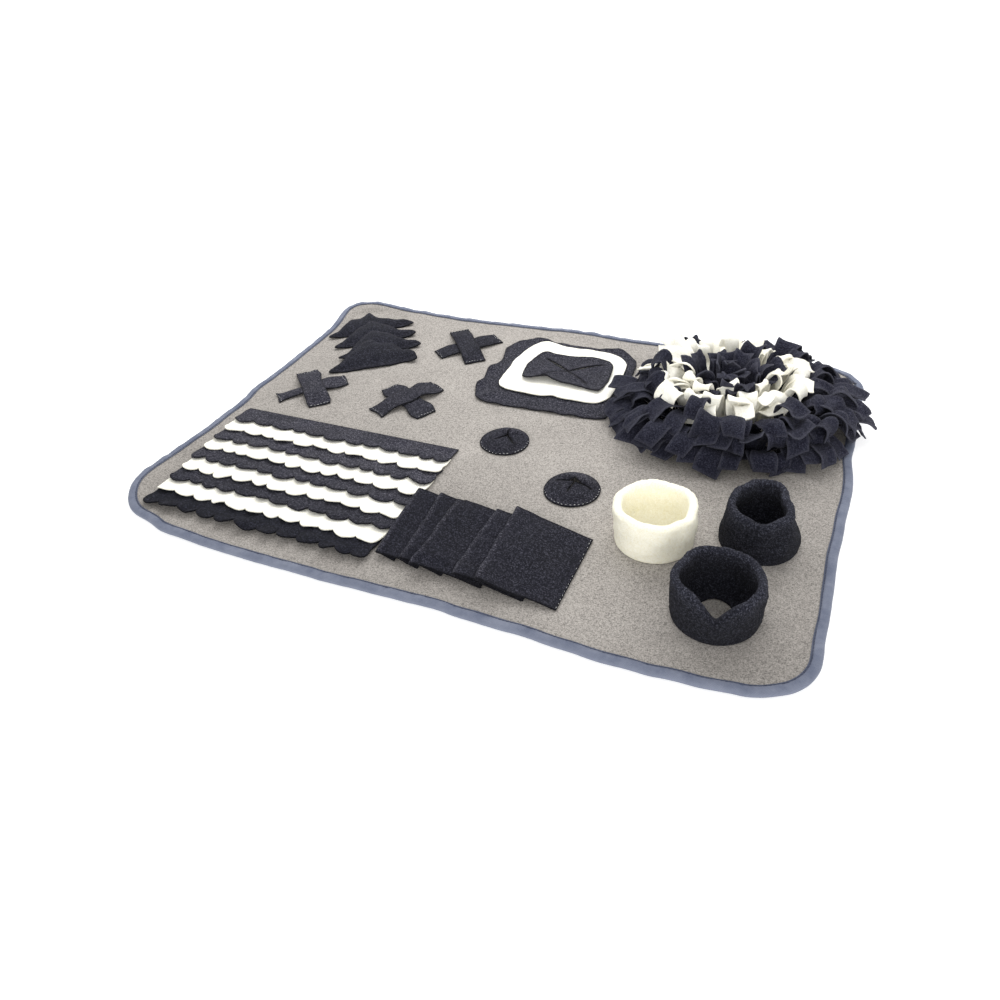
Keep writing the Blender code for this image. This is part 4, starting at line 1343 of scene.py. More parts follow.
def cut_corners(points, times):
    """A closed outline with every corner cut off a few times, until it is round."""
    loop = np.array(points, dtype=float)
    for _ in range(times):
        ahead = np.roll(loop, -1, axis=0)
        loop = np.stack([0.8 * loop + 0.2 * ahead, 0.2 * loop + 0.8 * ahead], axis=1).reshape(-1, 2)
    return loop


def leaf_outline(index, tier):
    """The tier's outline in its own directions: along its sewn front, and back from it."""
    loop = cut_corners(tier.back + tier.front, LEAF_CORNER_CUTS)[::-1]
    wobble = [0.35 * uneven(loop[:, 0], loop[:, 1], 12.0, 200 + 10 * k + index) for k in (0, 1)]
    return loop + np.column_stack(wobble)


def leaf_height(index, tier, along, back):
    """The leaf's middle height over its sewn line, and a painted highlight near its raised back edge."""
    share = along / tier.half_span
    tip = np.where(share > 0, tier.right_tip, tier.left_tip)
    curl = tip * soft_step((np.abs(share) - LEAF_TIP_START) / (1.0 - LEAF_TIP_START))
    crest = LEAF_CREST * bump(share, LEAF_CREST_REACH)
    ridge = LEAF_RIDGE * bump(along - 2.0, 5.0) * soft_step(back / 12.0)
    edge_wave = LEAF_EDGE_WAVE * uneven(along, back, 26.0, 220 + index) * soft_step(back / 20.0)
    chain = np.array(tier.back, dtype=float)
    deep = np.interp(along, chain[:, 0], chain[:, 1])
    arch = np.sin(math.pi * np.clip(back / np.maximum(deep, 4.0), 0.0, 1.0))
    dome = LEAF_DOME * arch * soft_step(deep / 24.0)
    # A painted highlight along the raised back edge, with a little painted shade everywhere else.
    lit = 0.8 * bump(deep - back, LEAF_LIT_REACH[0]) * bump(along, LEAF_LIT_REACH[1]) - 0.08
    return LEAF_SLOPE * back + crest + curl + ridge + dome + np.maximum(edge_wave, -0.3), lit


def make_leaf(index, tier):
    """One pointed tier, cut, turned to its place and laid."""
    flat, faces, border = cut_shape(leaf_outline(index, tier), LEAF_SPACING)
    rise, lit = leaf_height(index, tier, *flat.T)
    points = np.column_stack([*laid_at(tier, *flat.T), SEWN + FLEECE / 2 + rise])
    leaf = make_piece(f"leaf_flap_{index + 1}_cloth", points, faces, border, FLEECE, charcoal_fleece)
    # Paint the highlight along the back edge.
    paint_light(leaf, lit)
    corners = flat[faces]
    sides = corners[:, 1:] - corners[:, :1]
    cut_area = 0.5 * np.abs(sides[:, 0, 0] * sides[:, 1, 1] - sides[:, 0, 1] * sides[:, 1, 0]).sum()
    settle(leaf, f"leaf_flap_{index + 1}")
    return leaf, cut_area


leaves = [make_leaf(index, tier) for index, tier in enumerate(LEAF_TIERS)]
print("leaf areas, square mm:", [round(area) for _, area in leaves])

# %% [markdown]
# ## The crossed strips
#
# Three pairs of short strips cross over each other, sewn down at their ends only, so that each pair is a
# low arch for hiding treats under. A strip is a grid, a little wider towards its ends. It is pulled flat
# at the stitches and rises softly to the middle. The upper strip of a pair rises higher, by the
# thickness of the lower one.

# %% The strips
LEAFY = ((-1.0, 1.02), (-0.86, 0.72), (-0.3, 0.66), (0.22, 0.85), (0.58, 1.40), (0.84, 1.22), (1.0, 0.86))
WIDE_TOP = ((-1.0, 1.0), (-0.88, 1.08), (-0.4, 1.04), (0.1, 0.94), (0.6, 1.06), (0.9, 1.06), (1.0, 0.90))
LOBED = ((-1.0, 0.80), (-0.70, 1.30), (-0.3, 1.10), (0.3, 0.95), (0.66, 1.28), (0.9, 1.15), (1.0, 0.92))
NECKED = ((-1.0, 1.10), (-0.68, 0.84), (-0.1, 1.22), (0.30, 0.92), (0.66, 1.42), (0.88, 1.20), (1.0, 1.04))
FLARED = ((-1.0, 0.96), (-0.6, 1.10), (0.0, 0.95), (0.55, 1.26), (1.0, 1.10))
STRAIGHT = ((-1.0, 0.98), (0.0, 0.96), (1.0, 1.02))
STRIP_ARCH_SHARE = 0.58
UNDER_PUFF = 1.6
OVER_PUFF = 4.2
STRIPS = table(
    "name x y turn length width puff shape",
    ("cross_left_under", -258.0, 22.0, 49.6, 82.0, 22.0, UNDER_PUFF, LEAFY),
    ("cross_left_over", -258.0, 23.5, -46.6, 84.0, 25.5, OVER_PUFF, WIDE_TOP),
    ("cross_front_under", -139.0, 33.0, -30.0, 80.0, 24.0, UNDER_PUFF, LOBED),
    ("cross_front_over", -141.0, 36.0, 62.0, 84.0, 24.0, OVER_PUFF, NECKED),
    ("cross_far_under", -129.0, 173.0, 49.6, 82.0, 23.0, UNDER_PUFF, FLARED),
    ("cross_far_over", -131.0, 173.0, -52.0, 89.0, 25.0, OVER_PUFF, STRAIGHT),
)
STRIP_SPACING = 1.9
# Painted light for each pair of strips, by where it lies on the mat.
STRIP_PAINTED_LIGHT = {"left": 1.35, "front": 0.8, "far": 0.2}
STRIP_SEAM = 2.1
STRIP_CROWN = 0.7
STRIP_PINCH = 0.12
STRIP_RIPPLE = 0.35
STRIP_FLARE = 0.9
STRIP_SEWING = Sewing(pale_thread, "charcoal_fleece", 3.4, 2.1, 0.26, 0.30, 0.35)


def strip_grid(index, strip):
    """The strip's middle surface."""
    along = stations(strip.length, STRIP_SPACING) - strip.length / 2
    across = stations(strip.width, STRIP_SPACING) / strip.width - 0.5
    s, w = np.meshgrid(along, across)
    share = s / (strip.length / 2)
    fine = np.linspace(-1.0, 1.0, 81)
    profile = smoothed(np.interp(fine, *np.transpose(strip.shape)), 11)
    width = strip.width * (np.interp(share, fine, profile) + 0.02 * uneven(s, 0.0, 30.0, 300 + index))
    side = w * width + 0.7 * uneven(s, 0.0, 36.0, 310 + index)
    end = 0.9 * uneven(w * 24.0, 0.0, 16.0, 320 + index) * soft_step((np.abs(share) - 0.8) / 0.2)
    raised = strip.puff * soft_step((1.0 - np.abs(share)) / STRIP_ARCH_SHARE)
    seam_gap = strip.length / 2 - np.abs(s) - STRIP_SEAM
    crown = STRIP_CROWN * (1.0 - (2.0 * w) ** 2) * soft_step(np.abs(seam_gap) / 6.0)
    pinch = -STRIP_PINCH * bump(seam_gap, 1.6)
    ripple = STRIP_RIPPLE * uneven(s, side, 17.0, 330 + index) * soft_step((1.0 - np.abs(share)) / 0.3)
    fringe = np.maximum(uneven(w * 24.0, share, 14.0, 340 + index), 0.0)
    flare = STRIP_FLARE * soft_step((np.abs(share) - 0.9) / 0.1) * fringe
    height = SEWN + FLEECE / 2 + raised + crown + pinch + np.maximum(ripple, -0.1) + flare
    return np.dstack([*laid_at(strip, s + end, side), height])


def strip_seams(index, strip):
    """The line of stitches across each end."""
    lines = []
    for way in (-1.0, 1.0):
        across = np.linspace(-0.40, 0.40, 12) * strip.width * dict(strip.shape)[way]
        ahead = way * (strip.length / 2 - STRIP_SEAM) + 0.5 * uneven(across, 0.0, 14.0, 350 + index)
        height = SEWN + FLEECE + 0.16 + 0.12 * bump(across, strip.width * 0.3)
        lines.append((np.column_stack([*laid_at(strip, ahead, across), height]), False))
    return lines


strips = {}
for index, strip in enumerate(STRIPS):
    grid = strip_grid(index, strip)
    piece = make_grid_piece(strip.name + "_cloth", grid, FLEECE, charcoal_fleece)
    # Painted light on the strip, a little uneven.
    brushed = STRIP_PAINTED_LIGHT[strip.name.split("_")[1]]
    paint_light(piece, brushed + 0.12 * uneven(grid[:, :, 0], grid[:, :, 1], 26.0, 360 + index))
    settle(piece, strip.name)
    seams = sew(strip.name + "_stitches", strip_seams(index, strip), STRIP_SEWING, 20 + index)
    strips[strip.name] = (piece, seams)
for strip in STRIPS:
    piece, seams = strips[strip.name]

# %% [markdown]
# ## The layered target
#
# Three panels, dark, cream and dark, are sewn one on the other, each smaller than the one below. They
# were cut by eye, so each outline is a short list of corner points, whose corners are cut off until they
# are round. Where an edge is free it waves up off the layer below. The top panel has a cross of slits.
# Slits are real cuts here: they are left out of the panel when it is cut, and their lips are lifted.

# %% Shared shapes for panels and patches
def star_slit(centre, arms, width):
    """The outline of slits that meet in one point: each arm has an angle and a length."""
    arms = sorted(arms)
    points = []
    for index, (degrees, length) in enumerate(arms):
        opening = (arms[(index + 1) % len(arms)][0] - degrees) % 360.0
        along = pointing(degrees)
        side = pointing(degrees + 90.0)
        lip = [(length * 0.35, 0.5), (length * 0.7, 0.5), (length - width * 0.4, 0.3)]
        for reach, share in lip:
            points.append(along * reach - side * width * share)
        points.append(along * length)
        for reach, share in reversed(lip):
            points.append(along * reach + side * width * share)
        notch = width * 0.5 / math.sin(math.radians(opening / 2.0))
        points.append(pointing(degrees + opening / 2.0) * notch)
    return np.array(centre) + np.array(points)


def lip_lift(x, y, centre, arms, reach):
    """How much the cloth rises beside each slit, more towards the point where the slits meet."""
    lift = 0.0
    for index, (degrees, length) in enumerate(arms):
        forward, aside = seen_from(centre, degrees, x, y)
        within = soft_step(forward / (0.25 * length)) * soft_step((length - forward) / (0.5 * length))
        one_side = 0.55 + 0.45 * np.sign(aside) * (1 if index % 2 else -1)
        lift = np.maximum(lift, within * bump(aside, reach) * one_side)
    return lift


# %% The panels
PANEL_STEP = FLEECE + GAP
PANEL_SPACING = 2.9
PANEL_RIM = 13.0
PANEL_RIM_LIFT = 0.5
PANEL_RIM_WAVE = 0.8
# Painted light on every panel; on the cream one it barely shows.
PANEL_PAINTED_LIGHT = 1.12
PANEL_LIP = 1.5
PANEL_LIP_REACH = 5.0
PANELS = table(
    "name cloth flat_size base points waves creases",
    (
        "target_outer", "charcoal_fleece", (164.0, 163.0), SEWN,
        (
            (80, 60), (0, 58), (-58, 56), (-71, 64), (-81, 90), (-77, 100), (-82, 126),
            (-76, 140), (-75, 157), (-81, 178), (-76, 202), (-61, 213), (-48, 219), (-29, 212),
            (8, 213), (42, 214), (51, 219), (66, 208), (82, 190), (82, 80),
        ),
        table(
            SPOT,
            (-80.0, 92.0, 12.0, 2.0),
            (-79.0, 128.0, 12.0, 2.5),
            (-80.0, 176.0, 14.0, 2.0),
            (-50.0, 217.0, 16.0, 1.5),
            (50.0, 217.0, 12.0, 2.0),
        ),
        table(
            CREASE,
            (-60.0, 72.0, 48.0, 12.0, 3.2, 2.0),
            (-70.0, 128.0, 10.0, 9.0, 3.0, 1.2),
            (-71.0, 160.0, -8.0, 9.0, 3.5, 1.0),
        ),
    ),
    (
        "target_middle", "cream_fleece", (133.0, 126.0), SEWN + PANEL_STEP,
        (
            (-57, 101), (-51, 88), (-1, 83), (11, 90), (23, 86), (62, 88), (73, 100), (74, 142),
            (70, 187), (44, 205), (-9, 201), (-33, 209), (-45, 206), (-52, 192), (-59, 163), (-58, 123),
        ),
        table(
            SPOT,
            (-53.0, 95.0, 18.0, 1.0),
            (11.0, 88.0, 12.0, 1.0),
            (-40.0, 208.0, 16.0, 1.0),
        ),
        table(
            CREASE,
            (-44.0, 97.0, 45.0, 10.0, 3.5, 0.8),
            (-30.0, 150.0, 90.0, 24.0, 5.0, 0.5),
        ),
    ),
    (
        "target_inner", "charcoal_fleece", (101.0, 74.0), SEWN + 2 * PANEL_STEP,
        (
            (-34, 112), (-39, 132), (-39, 159), (-33, 176), (-26, 180), (-14, 176), (19, 182), (47, 182),
            (58, 170), (62, 140), (60, 108), (48, 110), (24, 112), (4, 114), (-9, 116), (-20, 111),
        ),
        table(
            SPOT,
            (-9.0, 114.0, 17.0, 6.0),
            (26.0, 112.0, 18.0, 2.6),
            (-30.0, 112.0, 12.0, 1.0),
            (-22.0, 180.0, 12.0, 1.5),
            (60.0, 160.0, 16.0, 1.5),
        ),
        table(
            CREASE,
            (-4.0, 124.0, 80.0, 12.0, 6.0, 1.6),
            (34.0, 160.0, 38.0, 16.0, 4.0, 0.7),
        ),
    ),
)
PANEL_SLIT_CENTRE = (11.0, 143.0)
PANEL_SLIT_ARMS = ((-36.0, 36.0), (37.0, 44.0), (147.0, 40.0), (211.0, 30.0))
PANEL_SLIT_WIDTH = 0.5
CORNER_CUTS = 3


def panel_outline(panel):
    """The panel's corner points, with each corner cut off a few times until it is round."""
    loop = cut_corners(panel.points, CORNER_CUTS)
    wobble = [uneven(loop[:, 0], loop[:, 1], 9.0, k + len(panel.name)) for k in (1, 2)]
    return loop + 0.25 * np.column_stack(wobble)


def make_panel(index, panel):
    """One layer of the target."""
    slits = []
    if panel.name == "target_inner":
        slits.append(star_slit(PANEL_SLIT_CENTRE, PANEL_SLIT_ARMS, PANEL_SLIT_WIDTH))
    flat, faces, border = cut_shape(panel_outline(panel), PANEL_SPACING, slits)
    x, y = flat.T
    edge_gap = from_loop(flat, resample_loop(panel_outline(panel), 3.0))[0]
    lift = spots_on(x, y, panel.waves)
    free = soft_step((PANEL_RIM - edge_gap) / PANEL_RIM)
    rim_wave = np.maximum(PANEL_RIM_LIFT + PANEL_RIM_WAVE * uneven(x, y, 24.0, 400 + index), 0.0) * free**2
    height = panel.base + FLEECE / 2 + lift * free + rim_wave
    height = height + crease_height(x, y, panel.creases)
    height = height + 0.12 * np.maximum(uneven(x, y, 12.0, 410 + index), 0.0)
    # Painted light on the panel, and a painted highlight on the lifted lips of the slits.
    lit = np.full(len(flat), PANEL_PAINTED_LIGHT)
    if slits:
        lips = lip_lift(x, y, PANEL_SLIT_CENTRE, PANEL_SLIT_ARMS, PANEL_LIP_REACH)
        height = height + PANEL_LIP * lips
        lit = lit + 0.4 * lips
    points = np.column_stack([flat, height])
    piece = make_piece(panel.name + "_cloth", points, faces, border, FLEECE, PLAIN_CLOTH[panel.cloth])
    paint_light(piece, lit)
    print(panel.name, len(flat), "points")
    return settle(piece, panel.name)


panels = [make_panel(index, panel) for index, panel in enumerate(PANELS)]
for index, panel in enumerate(PANELS):
    loop = panel_outline(panel)

# %% [markdown]
# ## The slit patches
#
# Two round patches are sewn down all round and slit from the middle in three directions, so that a nose
# can push in between the lips. The cloth is a little fuller than its place, which gives it a dome, and
# its back half stands up behind the two long slits.

# %% The round patches
PATCHES = table(
    "name x y radius dome slit_centre slits",
    ("round_patch_1", -4.0, -8.2, 25.3, 5.4, (-2.0, -5.0), ((-44.0, 15.0), (222.0, 14.0), (84.0, 8.0))),
    ("round_patch_2", 87.6, -62.8, 26.9, 4.8, (88.5, -56.0), ((-16.0, 18.0), (186.0, 18.0), (261.0, 16.0))),
)
PATCH_SPACING = 1.7
PATCH_SLIT_WIDTH = 0.9
PATCH_SEAM = 1.3
PATCH_SEAM_TURNS = (205.0, 375.0)
PATCH_SIDES = 120
PATCH_SLIT_REACH = 17.0
PATCH_LIP = 4.4
PATCH_SEWING = Sewing(pale_thread, "charcoal_fleece", 3.9, 1.9, 0.24, 0.3, 0.4)


def patch_height(index, patch, x, y):
    """A dome whose back half stands up behind the two long slits, and painted light, brightest on that
    half.
    """
    away = np.hypot(x - patch.x, y - patch.y)
    inward = np.clip(1.0 - away / patch.radius, 0.0, 1.0)
    centre = patch.slit_centre
    behind = 1.0
    for side, (degrees, _) in zip((1.0, -1.0), patch.slits[:2]):
        aside = seen_from(centre, degrees, x, y)[1] * side
        behind = np.minimum(behind, soft_step((aside + 0.6) / 1.2))
    near_slit = bump(np.hypot(x - centre[0], y - centre[1]), PATCH_SLIT_REACH)
    lip = behind * near_slit
    dome = patch.dome * (0.55 * soft_step(inward / 0.6) + 0.45 * near_slit * soft_step(inward / 0.3))
    lips = PATCH_LIP * lip * soft_step(inward / 0.3) + 0.5 * lip_lift(x, y, centre, patch.slits[2:], 4.0)
    soft = 0.4 * np.maximum(uneven(x, y, 13.0, 510 + index), -0.2) * soft_step(inward / 0.24)
    # Painted light all over, with a painted highlight on the raised back half near the slits.
    lit = 0.4 + behind * (0.3 + 1.2 * near_slit)
    return SEWN + FLEECE / 2 + dome + lips + soft, lit


def make_patch(index, patch):
    """One patch with its dome, its slits and a few stitches that show along its near rim."""
    turns = np.linspace(0.0, 360.0, PATCH_SIDES, endpoint=False)
    ragged = 0.9 * uneven(turns / 6.0, 0.0, 16.0, 500 + index) * np.sin(np.radians(turns / 2.0))
    outline = np.array([patch.x, patch.y]) + (patch.radius + ragged)[:, None] * pointing(turns)
    slit = star_slit(patch.slit_centre, patch.slits, PATCH_SLIT_WIDTH)
    flat, faces, border = cut_shape(outline, PATCH_SPACING, [slit])
    height, lit = patch_height(index, patch, *flat.T)
    points = np.column_stack([flat, height])
    piece = make_piece(patch.name + "_cloth", points, faces, border, FLEECE, charcoal_fleece)
    # Paint the patch's light and its highlight.
    paint_light(piece, lit)
    seam_turns = np.linspace(*PATCH_SEAM_TURNS, 40)
    ring = np.array([patch.x, patch.y]) + (patch.radius - PATCH_SEAM) * pointing(seam_turns)
    line = np.column_stack([ring, np.full(len(ring), SEWN + FLEECE + 0.15)])
    thread = sew(patch.name + "_stitches", [(line, False)], PATCH_SEWING, 30 + index)
    settle(piece, patch.name)


for index, patch in enumerate(PATCHES):
    make_patch(index, patch)

# %% [markdown]
# ## The pleated flap
#
# One dark cloth is folded back and forth into knife pleats and sewn down along its right edge, so that
# treats can be pushed under each pleat. Its section is drawn as a list of turning points. At a fold the
# cloth goes round a small arc, and elsewhere it bends softly. Two such sections, for the far and the
# near end, are blended across, and each pleat then gets its own rounding, droop and ripple.

# %% The flap's section
FLAP_FAR_Y = -115.0
FLAP_NEAR_Y = -207.0
FLAP_SLANT = -11.0
FLAP_FOLDS = table(
    "far_x near_x far_height near_height far_more near_more folds",
    (129.0, 128.0, 0.0, 0.0, 0.0, 0.0, False),
    (78.0, 82.0, 8.4, 9.2, 2.0, 1.5, False),
    (56.0, 59.5, 12.2, 13.4, 4.0, 3.2, True),
    (90.0, 98.0, 2.9, 2.9, 0.0, 0.0, True),
    (54.0, 58.0, 5.8, 6.6, 0.0, 0.0, False),
    (37.5, 38.0, 7.8, 10.0, 0.5, 3.0, True),
    (56.0, 60.0, 2.9, 2.9, 0.0, 0.0, True),
    (20.0, 20.0, 6.8, 6.4, -2.0, 2.0, False),
    (0.0, -1.0, 11.0, 9.8, -5.0, 6.0, True),
    (22.0, 23.0, 2.9, 2.9, 0.0, 0.0, True),
    (-4.5, -4.0, 5.3, 5.0, 0.0, 0.0, False),
    (-21.0, -14.5, 7.2, 6.6, 1.0, 1.0, True),
    (-4.0, 0.0, 2.9, 2.9, 0.0, 0.0, True),
    (-25.0, -19.0, 3.0, 4.2, 0.0, 0.0, False),
    (-46.0, -38.0, 5.4, 7.4, 1.0, 1.5, True),
    (-29.0, -22.0, 0.0, 0.0, 0.0, 0.0, False),
)
FOLD_RADIUS = 1.45
FLAP_SPACING = 2.0
FLAP_SOFTENING = 5
FLAP_TUCK = -1.0
CREST_REACH = 2.0
FLAP_LEVEL_TOP = 4.0
FOLD_SPACING = 0.62
LAST_STEP = 0.6
FOLD_STEPS = 7
FLAP_DROOP = 1.1
FLAP_SAG = 0.9
FLAP_SWAY = 0.7
FLAP_RIPPLE = 0.28
FLAP_SEWING = Sewing(pale_thread, "charcoal_fleece", 4.6, 1.9, 0.24, 0.35, 0.5)


def flap_spots(share):
    """The turning points of the section, at a share of the way from the far end to the near end."""
    spots = []
    turns = []
    for fold in FLAP_FOLDS:
        x = fold.far_x + (fold.near_x - fold.far_x) * share
        height = fold.far_height + (fold.near_height - fold.far_height) * share
        more = fold.far_more * (1.0 - share) - fold.near_more * share
        spots.append((x, SEWN + FLEECE / 2 + height, more))
        turns.append(fold.folds)
    return spots, turns


def flap_polyline(share):
    """The section with a small round arc at each fold; each point is marked if it is on a fold."""
    spots, turns = flap_spots(share)
    line = []
    marks = []
    for index, ((x, z, more), folds) in enumerate(zip(spots, turns)):
        if not folds:
            line.append((x, z, more))
            marks.append(0.0)
            continue
        side = 1.0 if x > spots[index - 1][0] else -1.0
        for angle in np.radians(np.linspace(90.0, -90.0, FOLD_STEPS)):
            across = x + side * FOLD_RADIUS * math.cos(angle)
            line.append((across, z + FOLD_RADIUS * (math.sin(angle) - 1.0), more))
            marks.append(1.0)
    return np.array(line), np.array(marks)


def flap_section(share, places):
    """The softened section, read at fixed shares of its own length."""
    line, marks = flap_polyline(share)
    travelled = distances_along(line[:, :2])
    spots = places * travelled[-1]
    read = read_off(spots, travelled, line)
    mark = np.interp(spots, travelled, marks)
    on_fold = travelled[marks > 0.0]
    crest = bump(np.abs(spots[:, None] - on_fold[None, :]).min(axis=1), CREST_REACH)
    return read, mark, spots, crest


def flap_places():
    """Shares along the section: even, but close together round the folds and at the ends."""
    line, marks = flap_polyline(0.5)
    travelled = distances_along(line[:, :2])
    places = list(EDGE_STATIONS)
    while places[-1] < travelled[-1] - EDGE_STATIONS[2] - LAST_STEP:
        near_fold = np.interp(places[-1], travelled, marks)
        places.append(places[-1] + (FOLD_SPACING if near_fold > 0.05 else FLAP_SPACING))
    places.extend([travelled[-1] - EDGE_STATIONS[1], travelled[-1]])
    return np.array(places) / travelled[-1]


# %% The flap's cloth
def make_flap():
    """The pleats, from the sewn right edge to the last tucked edge."""
    places = flap_places()
    ends = stations(FLAP_FAR_Y - FLAP_NEAR_Y, 2.0) / (FLAP_FAR_Y - FLAP_NEAR_Y)
    sewn_x = FLAP_FOLDS[0].far_x
    span = sewn_x - FLAP_FOLDS[-2].far_x
    grid = []
    marks = []
    for share in ends:
        section, mark, travelled, crest = flap_section(share, places)
        marks.append(crest)
        x = section[:, 0]
        z = np.where(mark > 0.0, section[:, 1], smoothed(section[:, 1], FLAP_SOFTENING))
        hidden = soft_step((x - np.minimum.accumulate(x) - 1.0) / 5.0)
        y = FLAP_FAR_Y + (FLAP_NEAR_Y - FLAP_FAR_Y) * share + FLAP_SLANT * (1.0 - (sewn_x - x) / span)
        y = y + section[:, 2] * (1.0 - hidden)
        y = y + FLAP_TUCK * hidden * (soft_step((share - 0.8) / 0.2) - soft_step((0.2 - share) / 0.2))
        top = soft_step((z - SEWN - FLAP_LEVEL_TOP) / 4.0)
        y = y + 0.5 * uneven(travelled, 0.0, 60.0, 600) * (1.0 - 2.0 * share)
        droop = -FLAP_DROOP * top * soft_step((abs(2.0 * share - 1.0) - 0.72) / 0.28)
        sag = droop + FLAP_SAG * top * uneven(travelled * 0.6, y, 42.0, 602)
        ripple = FLAP_RIPPLE * uneven(travelled, y, 15.0, 603) * top
        x = x + FLAP_SWAY * top * uneven(travelled * 0.3, y, 30.0, 604)
        grid.append(np.column_stack([x, y, z + sag + ripple]))
    grid = np.array(grid)
    flap = make_grid_piece("pleated_flap_cloth", grid, FLEECE, charcoal_fleece)
    # Painted light on the flap: a painted highlight along each raised fold, lighter towards the sewn right
    # edge, and a little painted shade elsewhere.
    crest = np.array(marks) * (grid[:, :, 2] > SEWN + FLAP_LEVEL_TOP)
    paint_light(flap, 1.0 * crest + 0.3 * soft_step((grid[:, :, 0] + 20.0) / 90.0) - 0.12)
    length = float(np.linalg.norm(np.diff(grid[len(grid) // 2], axis=0), axis=1).sum())
    print("flap:", grid[:, :, 0].size, "points,", round(length), "mm of cloth before it is pleated")
    return settle(flap, "pleated_flap"), length


flap, flap_length = make_flap()
sewn_y = np.linspace(FLAP_FAR_Y + FLAP_SLANT - 3.0, FLAP_NEAR_Y + FLAP_SLANT + 3.0, 40)
sewn_x = 127.9 - 0.5 * (sewn_y - sewn_y[0]) / (sewn_y[-1] - sewn_y[0])
sewn_line = np.column_stack([sewn_x, sewn_y, np.full(len(sewn_y), SEWN + FLEECE + 0.35)])
flap_stitches = sew("flap_stitches", [(sewn_line, False)], FLAP_SEWING, 40)

# %% [markdown]
# ## The cups
#
# Each cup is a band of fleece joined into a tube, folded double at its rim and sewn to the mat, so it
# stands like a soft bucket. The outer layer is sewn upright. The inner layer runs on inwards over the
# mat, like the bottom of a bowl. The wall is one section, carried round an oval. A cup leans, and its
# rim is pushed in or down where the cloth is slack, which a short table of dents gives. The pile is
# long and curly, so every point is also moved a hair's breadth at random.

# %% The cups
DENT = "degrees reach inward down"
CUPS = table(
    "name cloth x y base_x base_y rim_x rim_y height shift_y run bowl fold dents",
    (
        "cup_cream", "cream_fleece",
        176.8, -105.5, 33.8, 34.0, 35.0, 34.0, 42.0, 0.0, 27.0, 9.0, 4.6,
        table(
            DENT,
            (10.0, 22.0, 1.0, 0.0),
            (215.0, 30.0, 0.5, 1.0),
            (318.0, 10.0, 1.3, 0.6),
        ),
    ),
    (
        "cup_charcoal_rear", "charcoal_fleece",
        260.5, -78.0, 33.2, 34.5, 27.5, 31.5, 47.0, 1.0, 27.0, 22.0, 3.6,
        table(
            DENT,
            (24.0, 58.0, 7.5, 0.0),
            (138.0, 22.0, 3.0, 0.0),
            (325.0, 18.0, -3.0, 0.5),
            (215.0, 26.0, -2.0, 1.0),
            (268.0, 42.0, 0.0, 5.0),
        ),
    ),
    (
        "cup_charcoal_front", "charcoal_fleece",
        243.6, -176.6, 34.3, 34.8, 34.6, 34.5, 44.0, -1.0, 16.0, 18.0, 3.4,
        table(
            DENT,
            (279.0, 26.0, -1.0, 8.0),
            (278.0, 11.0, -1.5, 4.5),
            (235.0, 14.0, 1.2, 0.0),
            (332.0, 14.0, 1.2, 0.0),
            (60.0, 22.0, 1.5, 0.0),
        ),
    ),
)
CUP_CLOTH = {"charcoal_fleece": curly_fleece, "cream_fleece": ivory_fleece}
CUP_FLEECE = 2.2
CUP_COLUMNS = 144
CUP_WALL_STEPS = 20
CUP_FOLD_STEPS = 8
CUP_HOLLOW_STEPS = 14
CUP_SEAM = 0.25
CUP_FLOOR_GAP = 0.1
CUP_WALL = 40.0
CUP_FUZZ = 0.20
CUP_BELLY = 1.1
CUP_RIM_FULLNESS = 0.9
CUP_BUCKLE = (0.55, 0.7)
CUP_LUMPS = 0.9
CUP_GIRTH = 34.0


def dented(cup, degrees):
    """How far the rim is pushed in and down at an angle."""
    inward = 0.0
    down = 0.0
    for dent in cup.dents:
        away = angle_between(degrees, dent.degrees)
        inward = inward + dent.inward * bump(away, dent.reach)
        down = down + dent.down * bump(away, dent.reach)
    return inward, down


def cup_profile(cup, top):
    """The wall's section, from the inner raw edge on the mat to the outer one: across, height, face."""
    radius = cup.fold / 2
    base = SEWN + CUP_SEAM
    laid = SEWN + CUP_FLEECE / 2 + CUP_FLOOR_GAP
    edge = np.array(EDGE_STATIONS) / CUP_WALL
    rows = []
    turns = np.radians(np.linspace(0.0, 90.0, CUP_HOLLOW_STEPS))
    for turn in np.sort(np.concatenate([turns, edge[1:]])):
        across = -cup.fold - cup.run * (1.0 - math.sin(turn))
        rows.append((across, laid + cup.bowl * (1.0 - math.cos(turn)), -1.0))
    start = laid + cup.bowl
    for share in np.linspace(0.0, 1.0, CUP_WALL_STEPS)[1:-1]:
        rows.append((-cup.fold, start + (top - radius - start) * share, -1.0))
    for angle in np.radians(np.linspace(180.0, 0.0, CUP_FOLD_STEPS + 1)):
        height = top - radius + radius * math.sin(angle)
        rows.append((radius * (math.cos(angle) - 1.0), height, math.cos(angle)))
    wall = np.concatenate([edge, np.linspace(edge[-1], 1.0, CUP_WALL_STEPS + 1)[1:-1]])
    rows.extend((0.0, base + (top - radius - base) * share, 1.0) for share in wall[::-1])
    return rows


